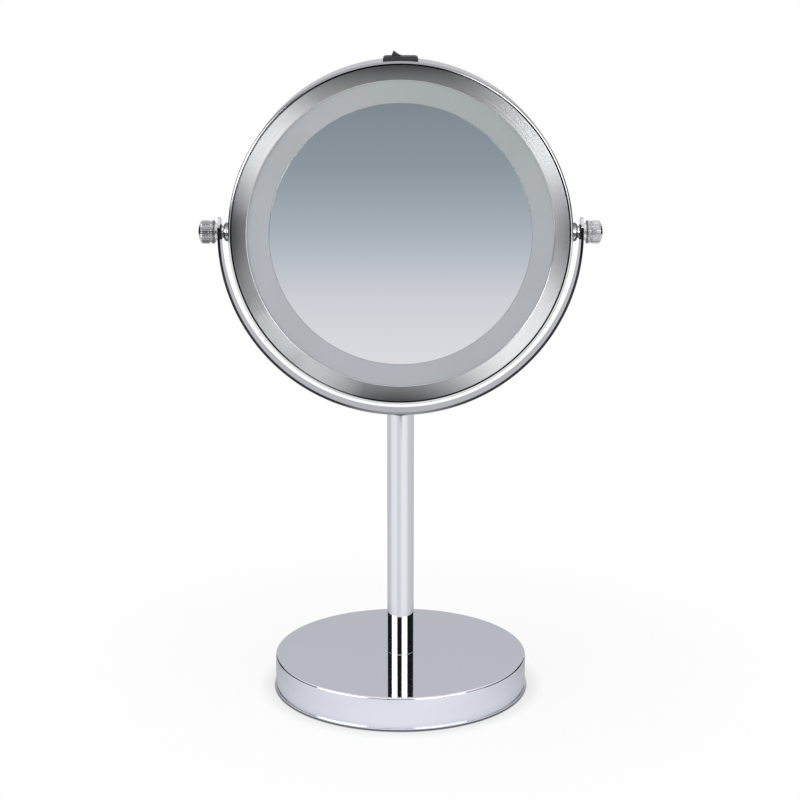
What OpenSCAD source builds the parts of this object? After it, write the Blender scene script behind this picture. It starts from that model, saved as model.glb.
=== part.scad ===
// Double-sided tabletop shaving mirror on a round pedestal.
// A drum-shaped head with a battery light ring turns in a bent-strip yoke on two thumb screws.
// Millimetres. The origin is the centre of the base's underside, +Z is up, the lit side faces -Y.

/* [Base] */
// Diameter of the base shell's side wall
base_d = 138.6; // [124:0.2:160]
// Height of the base, from the surface it stands on to its top
base_h = 18.6; // [16:0.2:26]
// Sheet thickness of the base shell
base_shell_t = 1.0; // [0.8:0.1:1.4]
// Radius of the base shell's top edge
base_edge_r = 1.2; // [0.6:0.1:2]
// Section radius of the rolled bead round the base shell's lower edge
base_bead_r = 0.7; // [0.5:0.1:1]
// Thickness of the foam pad under the base
base_pad_t = 1.2; // [0.9:0.1:2]
// How far the foam pad stands below the base shell
base_pad_proud = 0.6; // [0.3:0.1:0.8]
// Thickness of the plate that closes the base from below
base_plate_t = 1.2; // [0.8:0.1:2]
// Gap between the cast weight and the base shell's side wall
base_weight_gap = 6.3; // [3:0.1:14]
// Thickness of the cast weight
base_weight_t = 6.5; // [4:0.5:7]
// Diameter of the posts under the cast weight
base_post_d = 10; // [8:0.5:14]
// Distance of the posts' centres from the cast weight's edge
base_post_inset = 17; // [10:0.5:30]

/* [Column] */
// Outer diameter of the column tube
column_d = 14.6; // [12:0.2:20]
// Wall thickness of the column tube
column_t = 1.0; // [0.8:0.1:1.5]
// Length of the column tube between the base and the yoke
column_l = 136.7; // [90:0.1:220]
// Length of the threaded plugs in the ends of the column tube
column_plug_l = 18; // [14:1:30]

/* [Yoke] */
// Thickness of the yoke strip
yoke_t = 1.4; // [1:0.1:2]
// Width of the yoke strip
yoke_w = 12.3; // [11:0.1:16]
// Gap between the drum and the yoke strip at the tilt axis
yoke_gap = 5.0; // [4.6:0.1:8]
// How far the centre of the yoke's bend lies below the tilt axis
yoke_drop = 1.9; // [1.6:0.1:4]
// How far the yoke's rounded ends stand above the tilt axis
lug_rise = 7.8; // [7:0.1:12]
// Diameter of the stud that is riveted into the yoke
stud_d = 5; // [4:0.5:6]
// Diameter of the stud's flush rivet head
stud_head_d = 7.2; // [6.8:0.1:9]

/* [Pivot and thumb knobs] */
// Diameter of the two pivot screws
pivot_screw_d = 4.9; // [4:0.1:5.5]
// Diameter of the brass inserts that the pivot screws turn in
pivot_insert_d = 9; // [7.5:0.5:10]
// Length of the brass inserts
pivot_insert_l = 8.5; // [6:0.5:10]
// Diameter of the friction washers
friction_washer_d = 8; // [7:0.2:9]
// Thickness of the friction washers
friction_washer_t = 0.4; // [0.3:0.1:0.6]
// Largest diameter of the round spacer beads
spacer_d = 10; // [9:0.2:11]
// Width of the round part of the spacer beads
spacer_bead_w = 3.3; // [2.6:0.1:3.4]
// Diameter of the spacers' necks
spacer_neck_d = 6.6; // [6.4:0.1:7]
// Diameter of the knobs' fluted barrels
knob_d = 12.3; // [11.6:0.1:16]
// Length of the knobs' fluted barrels
knob_barrel_l = 4.3; // [3.6:0.1:8]
// Height of the knobs' domed ends
knob_dome_h = 1.8; // [1:0.1:3]
// Length of the groove round the knobs
knob_groove_l = 0.8; // [0.4:0.1:1.5]
// Depth of the groove round the knobs
knob_groove_depth = 0.7; // [0.4:0.1:1.2]
// Length of the knobs' inner fluted rings
knob_ring_l = 2.0; // [1.4:0.1:3]
// Diameter of the knobs' smooth necks
knob_neck_d = 9.2; // [8:0.1:10.5]
// Length of the knobs' smooth necks
knob_neck_l = 1.5; // [1:0.1:3]
// Flutes round a knob
knob_flutes = 36; // [24:1:48]
// Depth of the flutes
knob_flute_depth = 0.28; // [0.1:0.02:0.4]

/* [Head drum] */
// Outer diameter of the drum
head_d = 180; // [164:1:220]
// Wall thickness of the drum's band
band_t = 1.2; // [0.8:0.1:1.6]
// Radius of the rims' outer edges
rim_edge_r = 1.3; // [1.1:0.1:2.4]
// Width of the rims' faces, from the drum's edge to their inner edge
rim_w = 9.8; // [9.2:0.1:12]
// Width of the crease between a rim's rounded edge and its face
rim_crease_w = 0.5; // [0.3:0.1:0.8]
// Depth of that crease
rim_crease_depth = 0.4; // [0.2:0.1:0.6]
// How far the rims' faces fall from their outer to their inner edge
rim_dish = 1.6; // [0.8:0.1:2]
// Wall thickness of the rims
rim_t = 1.2; // [1:0.1:1.4]
// Depth of the skirts that hold the rims in the band
rim_skirt_l = 7; // [4:0.5:7.4]
// Height of the lip in front of the glass
rim_lip_t = 0.8; // [0.5:0.1:1]
// How far the lip covers the glass
rim_cover = 1.4; // [0.8:0.1:1.6]

/* [Front mirror and light] */
// Visible width of the frosted ring between the clear mirror and the rim
frost_w = 11.6; // [9:0.1:16]
// Thickness of the front mirror and of the frosted ring
glass_t = 2.6; // [2:0.1:3]
// Thickness of the mirror carrier's plate
carrier_t = 1.5; // [1.2:0.1:2]
// Thickness of the mirror carrier's two round walls
carrier_wall_t = 2.0; // [1.2:0.1:2.4]
// Thickness of the light's circuit board
board_t = 1.0; // [0.8:0.1:1.6]
// Air space between the circuit board and the glass
light_gap = 3.4; // [2.6:0.1:3.8]
// Light emitting diodes round the ring
led_count = 24; // [12:1:36]
// Length of a diode along the ring
led_l = 3.5; // [2:0.1:4]
// Width of a diode across the ring
led_w = 2.8; // [1.4:0.1:3.5]
// Height of a diode
led_t = 1.0; // [0.6:0.1:1.4]
// Width of the foam ring that the front mirror is bonded with
mirror_pad_w = 8; // [4:1:14]

/* [Rear mirror] */
// How deep the magnifying mirror is hollowed at its middle
rear_hollow = 3.7; // [2:0.1:4.6]
// Thickness of the magnifying mirror
rear_glass_t = 2.2; // [1.8:0.1:2.4]
// Thickness of the rear tray
rear_tray_t = 1.2; // [1:0.1:1.4]
// Thickness of the bonding ring behind the magnifying mirror
rear_pad_t = 0.6; // [0.4:0.1:0.8]
// Width of the bonding ring
rear_pad_w = 12; // [6:0.5:20]

/* [Battery bay] */
// Diameter of a cell
cell_d = 10.5; // [10:0.1:14.5]
// Length of a cell with its button
cell_l = 44.5; // [40:0.1:51]
// Height of a cell's button
cell_button_l = 1.2; // [0.8:0.1:1.5]
// Diameter of a cell's button
cell_button_d = 5.5; // [3:0.1:5.6]
// Gap between neighbouring cells
cell_gap = 0.7; // [0.4:0.1:2]
// Wall and floor thickness of the battery tray
tray_t = 1.2; // [1:0.1:1.4]
// Length of a contact spring under load
spring_l = 4.5; // [3.5:0.1:6]
// Diameter of the springs' wire
spring_wire_d = 0.6; // [0.4:0.1:0.8]
// Turns of a contact spring
spring_turns = 4; // [3:1:5]
// Thickness of the contact plates
contact_t = 0.4; // [0.3:0.1:0.5]
// Room between the cells and the rear tray
bay_room = 0.7; // [0.5:0.1:8]
// Diameter of the wires with their insulation
wire_d = 1.4; // [1:0.1:1.6]

/* [Switch] */
// Length of the switch's flange
switch_l = 18.3; // [17:0.1:22]
// Width of the switch's flange
switch_w = 12; // [11:0.1:13]
// How far the flange stands above the drum
switch_flange_h = 1.85; // [1.4:0.05:2.2]
// Radius of the flange's ends
switch_end_r = 1.6; // [0.8:0.1:1.6]
// Depth of the switch's housing below the drum's surface
switch_depth = 12; // [9:0.5:14]
// Wall thickness of the switch's housing
switch_wall_t = 0.8; // [0.6:0.05:0.8]
// Distance from the rocker's pin up to the corners of its hollow top
rocker_rise = 4.56; // [4.2:0.02:4.8]
// Half the distance between the corners of the rocker's top
rocker_half_l = 4.9; // [4:0.1:5]
// How deep the rocker's top is hollowed
rocker_hollow = 1.35; // [0.8:0.05:1.6]
// Height of the rocker's pin below the top of the flange
rocker_pin_depth = 3.0; // [2.6:0.1:3.4]
// Diameter of the rocker's pin
rocker_pin_d = 1.6; // [1.2:0.1:2]
// How far the rocker leans to either side
rocker_tilt = 15; // [10:1:16]

/* [Fits] */
// Radial clearance of screws and pins that turn in their holes
running_fit = 0.05; // [0.02:0.01:0.1]
// Radial clearance of the rims' skirts in the band
skirt_fit = 0.1; // [0.05:0.01:0.1]
// Clearance between pieces that are only laid beside each other
easy_fit = 0.2; // [0.1:0.05:0.3]
// End play of each side of the tilt axis
pivot_play = 0.1; // [0.05:0.05:0.2]

/* [Hidden] */
$fn = 96;
// Fineness of the large rims, bands and plates
round_fn = 180;
// Fineness of small screws and wires
small_fn = 32;
// A little extra for cuts that run out of a face
cut = 1;

// Base, from the surface it stands on upwards
base_r = base_d / 2;
shell_low_z = base_pad_proud;
shell_in_r = base_r - base_shell_t;
plate_top_z = base_pad_t + base_plate_t;
shell_ceiling_z = base_h - base_shell_t;
weight_low_z = shell_ceiling_z - base_weight_t;
bolt_d = 5;
bolt_head_across = 8;
bolt_head_h = 3.5;
flat_washer_d = 11;
flat_washer_t = 1;
spring_washer_d = 9.2;
spring_washer_t = 1.3;
spring_washer_slit = 1;
spring_washer_low_z = weight_low_z - flat_washer_t - spring_washer_t;
bolt_low_z = spring_washer_low_z - bolt_head_h;
base_weight_r = shell_in_r - base_weight_gap;
post_ring_r = base_weight_r - base_post_inset;
post_count = 3;
plate_screw_d = 2.6;
plate_screw_head_d = 5;
plate_screw_head_h = 0.9;
plate_screw_l = 7;
base_pad_inset = 1.3;

// Column and yoke
column_in_r = column_d / 2 - column_t;
column_top_z = base_h + column_l;
head_r = head_d / 2;
yoke_in_r = head_r + yoke_gap;
yoke_out_r = yoke_in_r + yoke_t;
yoke_z = column_top_z + yoke_out_r;
pivot_z = yoke_z + yoke_drop;
lug_r = yoke_w / 2;
lug_centre_z = pivot_z + lug_rise - lug_r;
plug_end_t = 4;
bolt_end_gap = 1;
stud_l = column_plug_l - plug_end_t;
stud_head_t = yoke_t / 2;

// Tilt axis, outwards from the middle of the head
pivot_bore_r = pivot_screw_d / 2 + running_fit;
pivot_clear = 0.5;
pivot_clear_r = pivot_bore_r + pivot_clear;
washer_out_x = yoke_in_r - pivot_play;
spacer_out_x = washer_out_x - friction_washer_t;
spacer_bead_r = spacer_bead_w / 2;
knob_in_x = yoke_out_r + pivot_play;
knob_ring_x = knob_in_x + knob_neck_l;
knob_groove_x = knob_ring_x + knob_ring_l;
knob_barrel_x = knob_groove_x + knob_groove_l;
knob_dome_x = knob_barrel_x + knob_barrel_l;
knob_r = knob_d / 2;
knob_dome_r = (knob_r * knob_r + knob_dome_h * knob_dome_h) / (2 * knob_dome_h);
knob_bevel = 0.4;
screw_grip = 5;

// Drum: its depth is what it holds between its two rims, from the front mirror to the rear one.
// Depths are measured forwards from the tilt axis, and are the same to the rear
cell_recess = 0.3;
front_stack = rim_dish + rim_lip_t + glass_t + light_gap + board_t + carrier_t;
bay_stack = tray_t + easy_fit / 2 + cell_d + cell_recess + bay_room;
rear_stack = rear_tray_t + rear_pad_t + rear_glass_t + rear_hollow + rim_lip_t + rim_dish;
half_depth = (front_stack + bay_stack + rear_stack) / 2;
band_half = half_depth - rim_edge_r;
band_in_r = head_r - band_t;
rim_in_r = head_r - rim_w;
rim_face_r = head_r - rim_edge_r;
rim_crease_r = rim_face_r - rim_crease_w;
glass_face = half_depth - rim_dish - rim_lip_t;
glass_r = rim_in_r + rim_cover;
skirt_out_r = band_in_r - skirt_fit;
skirt_in_r = skirt_out_r - rim_t;
skirt_end = band_half - rim_skirt_l;
nest_r = glass_r + easy_fit;
nest_t = 1;
nest_depth = 1.8;

// Front mirror, light and carrier
mirror_r = rim_in_r - frost_w;
glass_back = glass_face - glass_t;
board_face = glass_back - light_gap;
carrier_front = board_face - board_t;
carrier_back = carrier_front - carrier_t;
carrier_r = skirt_in_r - easy_fit;
outer_wall_r = glass_r;
ring_seat_w = 1.2;
inner_wall_r = mirror_r + ring_seat_w;
board_out_r = outer_wall_r - carrier_wall_t - easy_fit;
board_in_r = inner_wall_r + easy_fit;
led_ring_r = (board_out_r + board_in_r) / 2;
resistor_l = 1.6;
resistor_w = 0.8;
resistor_t = 0.5;
resistor_count = 8;
led_body_t = led_t * 0.7;
led_lens_r = led_w * 0.4;
mirror_pad_inset = 4;
mirror_pad_r = inner_wall_r - carrier_wall_t - mirror_pad_inset;

// Chassis ring and its screws
chassis_wall_t = 1.4;
chassis_flange_t = 1.6;
chassis_flange_lap = 1.8;
chassis_flange_in_r = outer_wall_r - chassis_flange_lap;
chassis_low = -6.2;
chassis_r = skirt_out_r;
block_w = 14;
block_in_x = chassis_r - chassis_wall_t - pivot_insert_l;
carrier_screw_d = 2;
carrier_screw_head_d = 3.8;
carrier_screw_head_h = 1.3;
carrier_screw_l = 6;
carrier_boss_d = 4.4;
carrier_boss_h = 3.4;
carrier_screw_ring_r = (outer_wall_r + carrier_r) / 2;
carrier_screw_angles = [45, 135, 225, 315];

// Rear mirror and tray, in distances behind the tilt axis
rear_curve_r = (glass_r * glass_r + rear_hollow * rear_hollow) / (2 * rear_hollow);
rear_centre = glass_face + rear_curve_r - rear_hollow;
rear_step_w = 5;
rear_step_r = glass_r - rear_step_w;
rear_pad_inset = 16.6;
rear_pad_out_r = rear_step_r - rear_pad_inset;
rear_pad_in_r = rear_pad_out_r - rear_pad_w;
rear_flange_t = 1.2;

// Battery bay
cell_r = cell_d / 2;
cell_pitch = cell_d + cell_gap;
cell_count = 4;
tray_floor = carrier_back - tray_t;
cell_depth = tray_floor - easy_fit / 2 - cell_r;
tray_low = cell_depth - cell_r - cell_recess;
tray_in_x = (cell_l + spring_l) / 2 + contact_t;
tray_in_y = cell_pitch * (cell_count - 1) / 2 + cell_r + easy_fit;
tray_ear_r = 3;
tray_ear_t = 2;
tray_ear_reach = 2.4;
tray_ear_x = tray_in_x + tray_t + tray_ear_reach;
tray_ear_y = 10;
tray_screw_d = 2;
tray_screw_head_d = 3.6;
tray_screw_head_h = 1.2;
tray_screw_bite = 2;
tray_boss_d = 5;
tray_boss_h = 3.2;
tray_boss_end_t = 0.6;
contact_w = 8.4;
tab_w = 3;
tab_l = 2;
tab_x = tray_in_x + tray_t + tab_l;
spring_wide_r = 3.4;
spring_narrow_r = 2.2;
spring_rings = 12;
spring_sides = 6;
wire_steps = 4;
wire_sides = 8;

// Switch
flange_lap = 1.1;
flange_root = 2;
slot_half_l = switch_l / 2 - flange_lap;
slot_half_w = switch_w / 2 - flange_lap;
housing_half_l = slot_half_l - easy_fit;
housing_half_w = slot_half_w - easy_fit;
flange_top = head_r + switch_flange_h;
housing_low = head_r - switch_depth;
rocker_pin_y = flange_top - rocker_pin_depth;
rocker_half_w = housing_half_w - switch_wall_t - easy_fit;
rocker_well_gap = 1.4;
rocker_well_half_l = rocker_half_l + rocker_well_gap;
rocker_curve_r = (rocker_half_l * rocker_half_l + rocker_hollow * rocker_hollow) / (2 * rocker_hollow);
rocker_curve_a = asin(rocker_half_l / rocker_curve_r);
rocker_flare = 0.6;
rocker_foot_half_l = rocker_half_l + rocker_flare;
rocker_foot_y = 1;
rocker_hub_r = 2.2;
rocker_pin_half_l = housing_half_w - easy_fit;
terminal_x = 4;
terminal_t = 0.8;
terminal_w = 3;
terminal_l = 6;
terminal_end = housing_low - terminal_l;

// Holes in the carrier where the wires reach the circuit board
wire_hole_gap = 0.5;
wire_hole_r = wire_d / 2 + wire_hole_gap;
wire_end_gap = 0.3;
// Room that a wire takes for one bend
wire_bend = 4;
red_hole_a = 99;
black_hole_a = -30;

// ---- shared shapes ----

// Places the head's pieces: x to the right, y up and z forwards, all from the tilt axis
module in_head() {
    translate([0, 0, pivot_z]) rotate([90, 0, 0]) children();
}

// Places a piece of the tilt axis: z runs outwards from the middle of the head
module on_pivot(side) {
    translate([0, 0, pivot_z]) mirror([side < 0 ? 1 : 0, 0, 0]) rotate([0, 90, 0]) children();
}

module ring(out_r, in_r, low, high) {
    translate([0, 0, low]) linear_extrude(high - low) difference() {
        circle(r = out_r);
        circle(r = in_r);
    }
}

module rod(r, low, high) {
    translate([0, 0, low]) cylinder(r = r, h = high - low);
}

module block(low, high) {
    translate(low) cube(high - low);
}

function arc(centre, r, from, to, steps) =
    [for (i = [0:steps]) let (a = from + (to - from) * i / steps) centre + r * [cos(a), sin(a)]];

// A smooth curve through hand-laid bends, as points a quarter of a bend apart
function curve_point(a, b, c, d, t) = 0.5 * (2 * b + (c - a) * t
    + (2 * a - 5 * b + 4 * c - d) * t * t + (3 * b - a - 3 * c + d) * t * t * t);
function curve(bends, steps) = let (last = len(bends) - 1) concat(
    [for (i = [0:last - 1], k = [0:steps - 1]) curve_point(
        bends[max(i - 1, 0)], bends[i], bends[i + 1], bends[min(i + 2, last)], k / steps)],
    [bends[last]]);

// A round wire or coil swept along points; no stretch of it may run along lean
module sweep(points, r, sides, lean) {
    last = len(points) - 1;
    skin = [for (i = [0:last]) let (
        way = points[min(i + 1, last)] - points[max(i - 1, 0)],
        u = cross(lean, way) / norm(cross(lean, way)), v = cross(way, u) / norm(way)
    ) each [for (k = [0:sides - 1]) points[i] + r * (cos(360 * k / sides) * u + sin(360 * k / sides) * v)]];
    polyhedron(skin, concat(
        [for (i = [0:last - 1], k = [0:sides - 1]) let (n = (k + 1) % sides)
            [i * sides + k, (i + 1) * sides + k, (i + 1) * sides + n, i * sides + n]],
        [[for (k = [0:sides - 1]) k], [for (k = [sides - 1:-1:0]) last * sides + k]]
    ), convexity = 10);
}

// An insulated wire through its bends
module wire(bends) {
    sweep(curve(bends, wire_steps), wire_d / 2, wire_sides, [-0.5, -0.5, 0.7]);
}

module countersunk_screw(d, head_d, head_h, l) {
    rotate_extrude($fn = small_fn) polygon([
        [0, 0], [head_d / 2, 0], [head_d / 2, head_h / 3], [d / 2, head_h], [d / 2, l], [0, l]
    ]);
}

module cheese_screw(d, head_d, head_h, l) {
    difference() {
        union() {
            cylinder(d = head_d, h = head_h, $fn = small_fn);
            cylinder(d = d, h = head_h + l, $fn = small_fn);
        }
        slot_w = head_d / 5;
        block([-head_d, -slot_w / 2, -cut], [head_d, slot_w / 2, head_h / 2]);
    }
}

// ---- base ----

module base_shell() color("gainsboro") difference() {
    bead = [base_r, shell_low_z + base_bead_r];
    rotate_extrude($fn = round_fn) polygon(concat(
        [[shell_in_r, shell_low_z], [shell_in_r, shell_ceiling_z], [0, shell_ceiling_z], [0, base_h]],
        arc([base_r - base_edge_r, base_h - base_edge_r], base_edge_r, 90, 0, 6),
        arc(bead, base_bead_r, 90, -90, 8)
    ));
    rod(bolt_d / 2 + easy_fit, shell_ceiling_z - cut, base_h + cut);
}

module at_posts() {
    for (i = [0:post_count - 1]) rotate(360 * i / post_count + 90)
        translate([post_ring_r, 0, 0]) children();
}

module base_weight() color("dimgray") difference() {
    union() {
        rod(base_weight_r, weight_low_z, shell_ceiling_z);
        at_posts() rod(base_post_d / 2, plate_top_z, weight_low_z + cut);
    }
    rod(bolt_d / 2 + easy_fit, weight_low_z - cut, shell_ceiling_z + cut);
    at_posts() rod(plate_screw_d / 2, plate_top_z - cut, base_pad_t + plate_screw_l);
}

module base_plate() color("darkgray") difference() {
    rod(shell_in_r - easy_fit / 2, base_pad_t, plate_top_z, $fn = round_fn);
    at_posts() translate([0, 0, base_pad_t])
        countersunk_screw(plate_screw_d, plate_screw_head_d, plate_screw_head_h, plate_screw_l);
}

module base_plate_screws() color("silver") at_posts() translate([0, 0, base_pad_t]) difference() {
    countersunk_screw(plate_screw_d, plate_screw_head_d, plate_screw_head_h, plate_screw_l);
    recess = plate_screw_head_d / 5;
    block([-recess, -recess / 4, -cut], [recess, recess / 4, plate_screw_head_h / 2]);
    block([-recess / 4, -recess, -cut], [recess / 4, recess, plate_screw_head_h / 2]);
}

module base_pad() color([0.16, 0.16, 0.17])
    rod(shell_in_r - base_pad_inset, 0, base_pad_t, $fn = round_fn);

module base_bolt() color("silver") {
    rod(bolt_head_across / 2 / cos(30), bolt_low_z, spring_washer_low_z, $fn = 6);
    rod(bolt_d / 2, spring_washer_low_z - cut, base_h + column_plug_l - plug_end_t - bolt_end_gap);
}

module base_flat_washer() color("lightgray")
    ring(flat_washer_d / 2, bolt_d / 2 + easy_fit, weight_low_z - flat_washer_t, weight_low_z);

module base_spring_washer() color("darkgray") difference() {
    ring(spring_washer_d / 2, bolt_d / 2 + easy_fit, spring_washer_low_z,
        spring_washer_low_z + spring_washer_t);
    block([0, -spring_washer_slit / 2, spring_washer_low_z - cut],
        [spring_washer_d, spring_washer_slit / 2, spring_washer_low_z + spring_washer_t + cut]);
}

// ---- column ----

// The room taken by the yoke's round underside, which the column's top is cut to
module yoke_bend(r) {
    translate([0, 0, yoke_z]) rotate([90, 0, 0])
        cylinder(r = r, h = yoke_w + column_d, center = true, $fn = round_fn);
}

module column_tube() color([0.86, 0.85, 0.9]) difference() {
    rod(column_d / 2, base_h, column_top_z + cut);
    rod(column_in_r, base_h - cut, column_top_z + 2 * cut);
    yoke_bend(yoke_out_r);
}

module column_foot_plug() color("darkkhaki") difference() {
    rod(column_in_r, base_h, base_h + column_plug_l);
    rod(bolt_d / 2, base_h - cut, base_h + column_plug_l - plug_end_t);
}

module column_head_plug() color("darkkhaki") difference() {
    rod(column_in_r, column_top_z - column_plug_l, column_top_z + cut);
    rod(stud_d / 2, column_top_z - stud_l, column_top_z + 2 * cut);
    yoke_bend(yoke_out_r);
}

// ---- yoke ----

module yoke() color([0.8, 0.8, 0.82]) difference() {
    union() {
        translate([0, 0, yoke_z]) rotate([90, 0, 0])
            linear_extrude(yoke_w, center = true) difference() {
                circle(r = yoke_out_r, $fn = round_fn);
                circle(r = yoke_in_r, $fn = round_fn);
                translate([-head_d, 0]) square(2 * head_d);
            }
        for (side = [-1, 1]) on_pivot(side) {
            block([-(lug_centre_z - pivot_z), -lug_r, yoke_in_r], [yoke_drop, lug_r, yoke_out_r]);
            translate([-(lug_centre_z - pivot_z), 0, 0]) rod(lug_r, yoke_in_r, yoke_out_r);
        }
    }
    for (side = [-1, 1]) on_pivot(side) rod(pivot_bore_r, yoke_in_r - cut, yoke_out_r + cut);
    rod(stud_d / 2, column_top_z - cut, column_top_z + yoke_t + cut);
    rod(stud_head_d / 2, column_top_z + yoke_t - stud_head_t, column_top_z + yoke_t + cut);
}

module yoke_stud() color("silver") difference() {
    union() {
        rod(stud_d / 2, column_top_z - stud_l, column_top_z + yoke_t);
        rod(stud_head_d / 2, column_top_z + yoke_t - stud_head_t, column_top_z + yoke_t + cut);
    }
    yoke_bend(yoke_in_r);
}

// ---- drum ----

module at_switch_slot(margin) {
    block([-slot_half_l - margin, housing_low - cut, -slot_half_w - margin],
        [slot_half_l + margin, head_r + cut, slot_half_w + margin]);
}

module both_pivot_holes(r, from, to) {
    for (side = [-1, 1]) rotate([0, side * 90, 0]) rod(r, from, to);
}

module head_band() color([0.83, 0.83, 0.85]) in_head() difference() {
    ring(head_r, band_in_r, -band_half, band_half, $fn = round_fn);
    at_switch_slot(0);
    both_pivot_holes(pivot_clear_r, band_in_r - cut, head_r + cut);
}

module chassis_ring() color("whitesmoke") in_head() difference() {
    union() {
        ring(chassis_r, chassis_r - chassis_wall_t, chassis_low, carrier_back, $fn = round_fn);
        ring(chassis_r, chassis_flange_in_r, carrier_back - chassis_flange_t, carrier_back,
            $fn = round_fn);
        for (side = [-1, 1]) intersection() {
            block([side < 0 ? -chassis_r : block_in_x, -block_w / 2, chassis_low],
                [side < 0 ? -block_in_x : chassis_r, block_w / 2, carrier_back]);
            rod(chassis_r - chassis_wall_t / 2, chassis_low, carrier_back, $fn = round_fn);
        }
    }
    at_switch_slot(easy_fit);
    block([-slot_half_l - easy_fit, housing_low - cut, 0],
        [slot_half_l + easy_fit, head_r + cut, carrier_back + cut]);
    both_pivot_holes(pivot_insert_d / 2, block_in_x - cut, block_in_x + pivot_insert_l);
    both_pivot_holes(pivot_clear_r, block_in_x, head_r);
    for (a = carrier_screw_angles) rotate(a) translate([carrier_screw_ring_r, 0, 0])
        rod(carrier_screw_d / 2, chassis_low - cut, carrier_back + cut, $fn = small_fn);
}

// Depth of a rim's face at radius r, and of the skin behind it
function rim_face(r) = half_depth - rim_dish * (rim_face_r - r) / (rim_face_r - rim_in_r);
function rim_back(r) = rim_face(r) - rim_t;

// One rim: rounded outer edge, crease, dished face, lip, nest for the glass, skirt in the band
module rim_shape() {
    rotate_extrude($fn = round_fn) polygon(concat(
        [[head_r, band_half]],
        arc([rim_face_r, band_half], rim_edge_r, 0, 90, 8),
        [
            [rim_face_r, half_depth - rim_crease_depth], [rim_crease_r, half_depth - rim_crease_depth],
            [rim_crease_r, rim_face(rim_crease_r)],
            [rim_in_r, rim_face(rim_in_r)], [rim_in_r, glass_face],
            [nest_r, glass_face], [nest_r, glass_face - nest_depth],
            [nest_r + nest_t, glass_face - nest_depth], [nest_r + nest_t, rim_back(nest_r + nest_t)],
            [skirt_in_r, rim_back(skirt_in_r)], [skirt_in_r, skirt_end],
            [skirt_out_r, skirt_end], [skirt_out_r, band_half]
        ]
    ));
}

module front_rim() color([0.72, 0.72, 0.73]) in_head() rim_shape();

module front_mirror() color([0.68, 0.72, 0.76]) in_head()
    rod(mirror_r, glass_back, glass_face, $fn = round_fn);

module light_ring() color([0.72, 0.72, 0.73]) in_head()
    ring(glass_r, mirror_r + easy_fit / 2, glass_back, glass_face, $fn = round_fn);

module at_tray_ears() {
    for (sx = [-1, 1], sy = [-1, 1]) translate([sx * tray_ear_x, sy * tray_ear_y, 0]) children();
}

module mirror_carrier() color("white") in_head() difference() {
    union() {
        rod(carrier_r, carrier_back, carrier_front, $fn = round_fn);
        ring(outer_wall_r, outer_wall_r - carrier_wall_t, carrier_back, glass_back, $fn = round_fn);
        ring(inner_wall_r, inner_wall_r - carrier_wall_t, carrier_back, glass_back, $fn = round_fn);
        for (a = carrier_screw_angles) rotate(a) translate([carrier_screw_ring_r, 0, 0])
            rod(carrier_boss_d / 2, carrier_back, carrier_front + carrier_boss_h);
        at_tray_ears() rod(tray_boss_d / 2, carrier_back, carrier_front + tray_boss_h);
    }
    for (a = carrier_screw_angles) rotate(a) translate([carrier_screw_ring_r, 0, 0])
        rod(carrier_screw_d / 2, carrier_back - cut, carrier_back - chassis_flange_t + carrier_screw_l,
            $fn = small_fn);
    at_tray_ears() rod(tray_screw_d / 2, carrier_back - cut, carrier_front + tray_boss_h - tray_boss_end_t,
        $fn = small_fn);
    for (a = [red_hole_a, black_hole_a]) rotate(a) translate([led_ring_r, 0, 0])
        rod(wire_hole_r, carrier_back - cut, carrier_front + cut, $fn = small_fn);
}

module mirror_pad() color([0.2, 0.2, 0.21]) in_head()
    ring(mirror_pad_r, mirror_pad_r - mirror_pad_w, carrier_front, glass_back, $fn = round_fn);

module carrier_screws() color("silver") in_head()
    for (a = carrier_screw_angles) rotate(a)
        translate([carrier_screw_ring_r, 0, carrier_back - chassis_flange_t - carrier_screw_head_h])
            cheese_screw(carrier_screw_d, carrier_screw_head_d, carrier_screw_head_h, carrier_screw_l);

// ---- light ----

module led_board() color("seagreen") in_head()
    ring(board_out_r, board_in_r, carrier_front, board_face, $fn = round_fn);

module leds() color("lightyellow") in_head()
    for (i = [0:led_count - 1]) rotate(360 * (i + 0.5) / led_count) translate([led_ring_r, 0, 0]) {
        block([-led_w / 2, -led_l / 2, board_face], [led_w / 2, led_l / 2, board_face + led_body_t]);
        rod(led_lens_r, board_face, board_face + led_t, $fn = small_fn);
    }

module led_resistors() color("black") in_head()
    for (i = [0:resistor_count - 1]) rotate(360 * i / resistor_count) translate([led_ring_r, 0, 0])
        block([-resistor_w / 2, -resistor_l / 2, board_face],
            [resistor_w / 2, resistor_l / 2, board_face + resistor_t]);

// ---- battery bay ----

function cell_y(i) = cell_pitch * ((cell_count - 1) / 2 - i);
// +1 where the cell's button points to the right
function cell_way(i) = i % 2 == 0 ? 1 : -1;

module contact_tab(i) {
    block([tray_in_x - contact_t / 2, cell_y(i) - tab_w / 2, cell_depth],
        [tab_x, cell_y(i) + tab_w / 2, cell_depth + contact_t]);
}

module battery_tray() color([0.25, 0.25, 0.26]) in_head() difference() {
    union() {
        block([-tray_in_x - tray_t, -tray_in_y - tray_t, tray_low],
            [tray_in_x + tray_t, tray_in_y + tray_t, carrier_back]);
        at_tray_ears() rod(tray_ear_r, carrier_back - tray_ear_t, carrier_back);
    }
    block([-tray_in_x, -tray_in_y, tray_low - cut], [tray_in_x, tray_in_y, tray_floor]);
    at_tray_ears() rod(tray_screw_d / 2, carrier_back - tray_ear_t - cut, carrier_back + cut,
        $fn = small_fn);
    contact_tab(0);
    contact_tab(cell_count - 1);
}

module tray_screws() color("silver") in_head() at_tray_ears()
    translate([0, 0, carrier_back - tray_ear_t - tray_screw_head_h])
        cheese_screw(tray_screw_d, tray_screw_head_d, tray_screw_head_h,
            tray_ear_t + carrier_t + tray_screw_bite);

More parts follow.
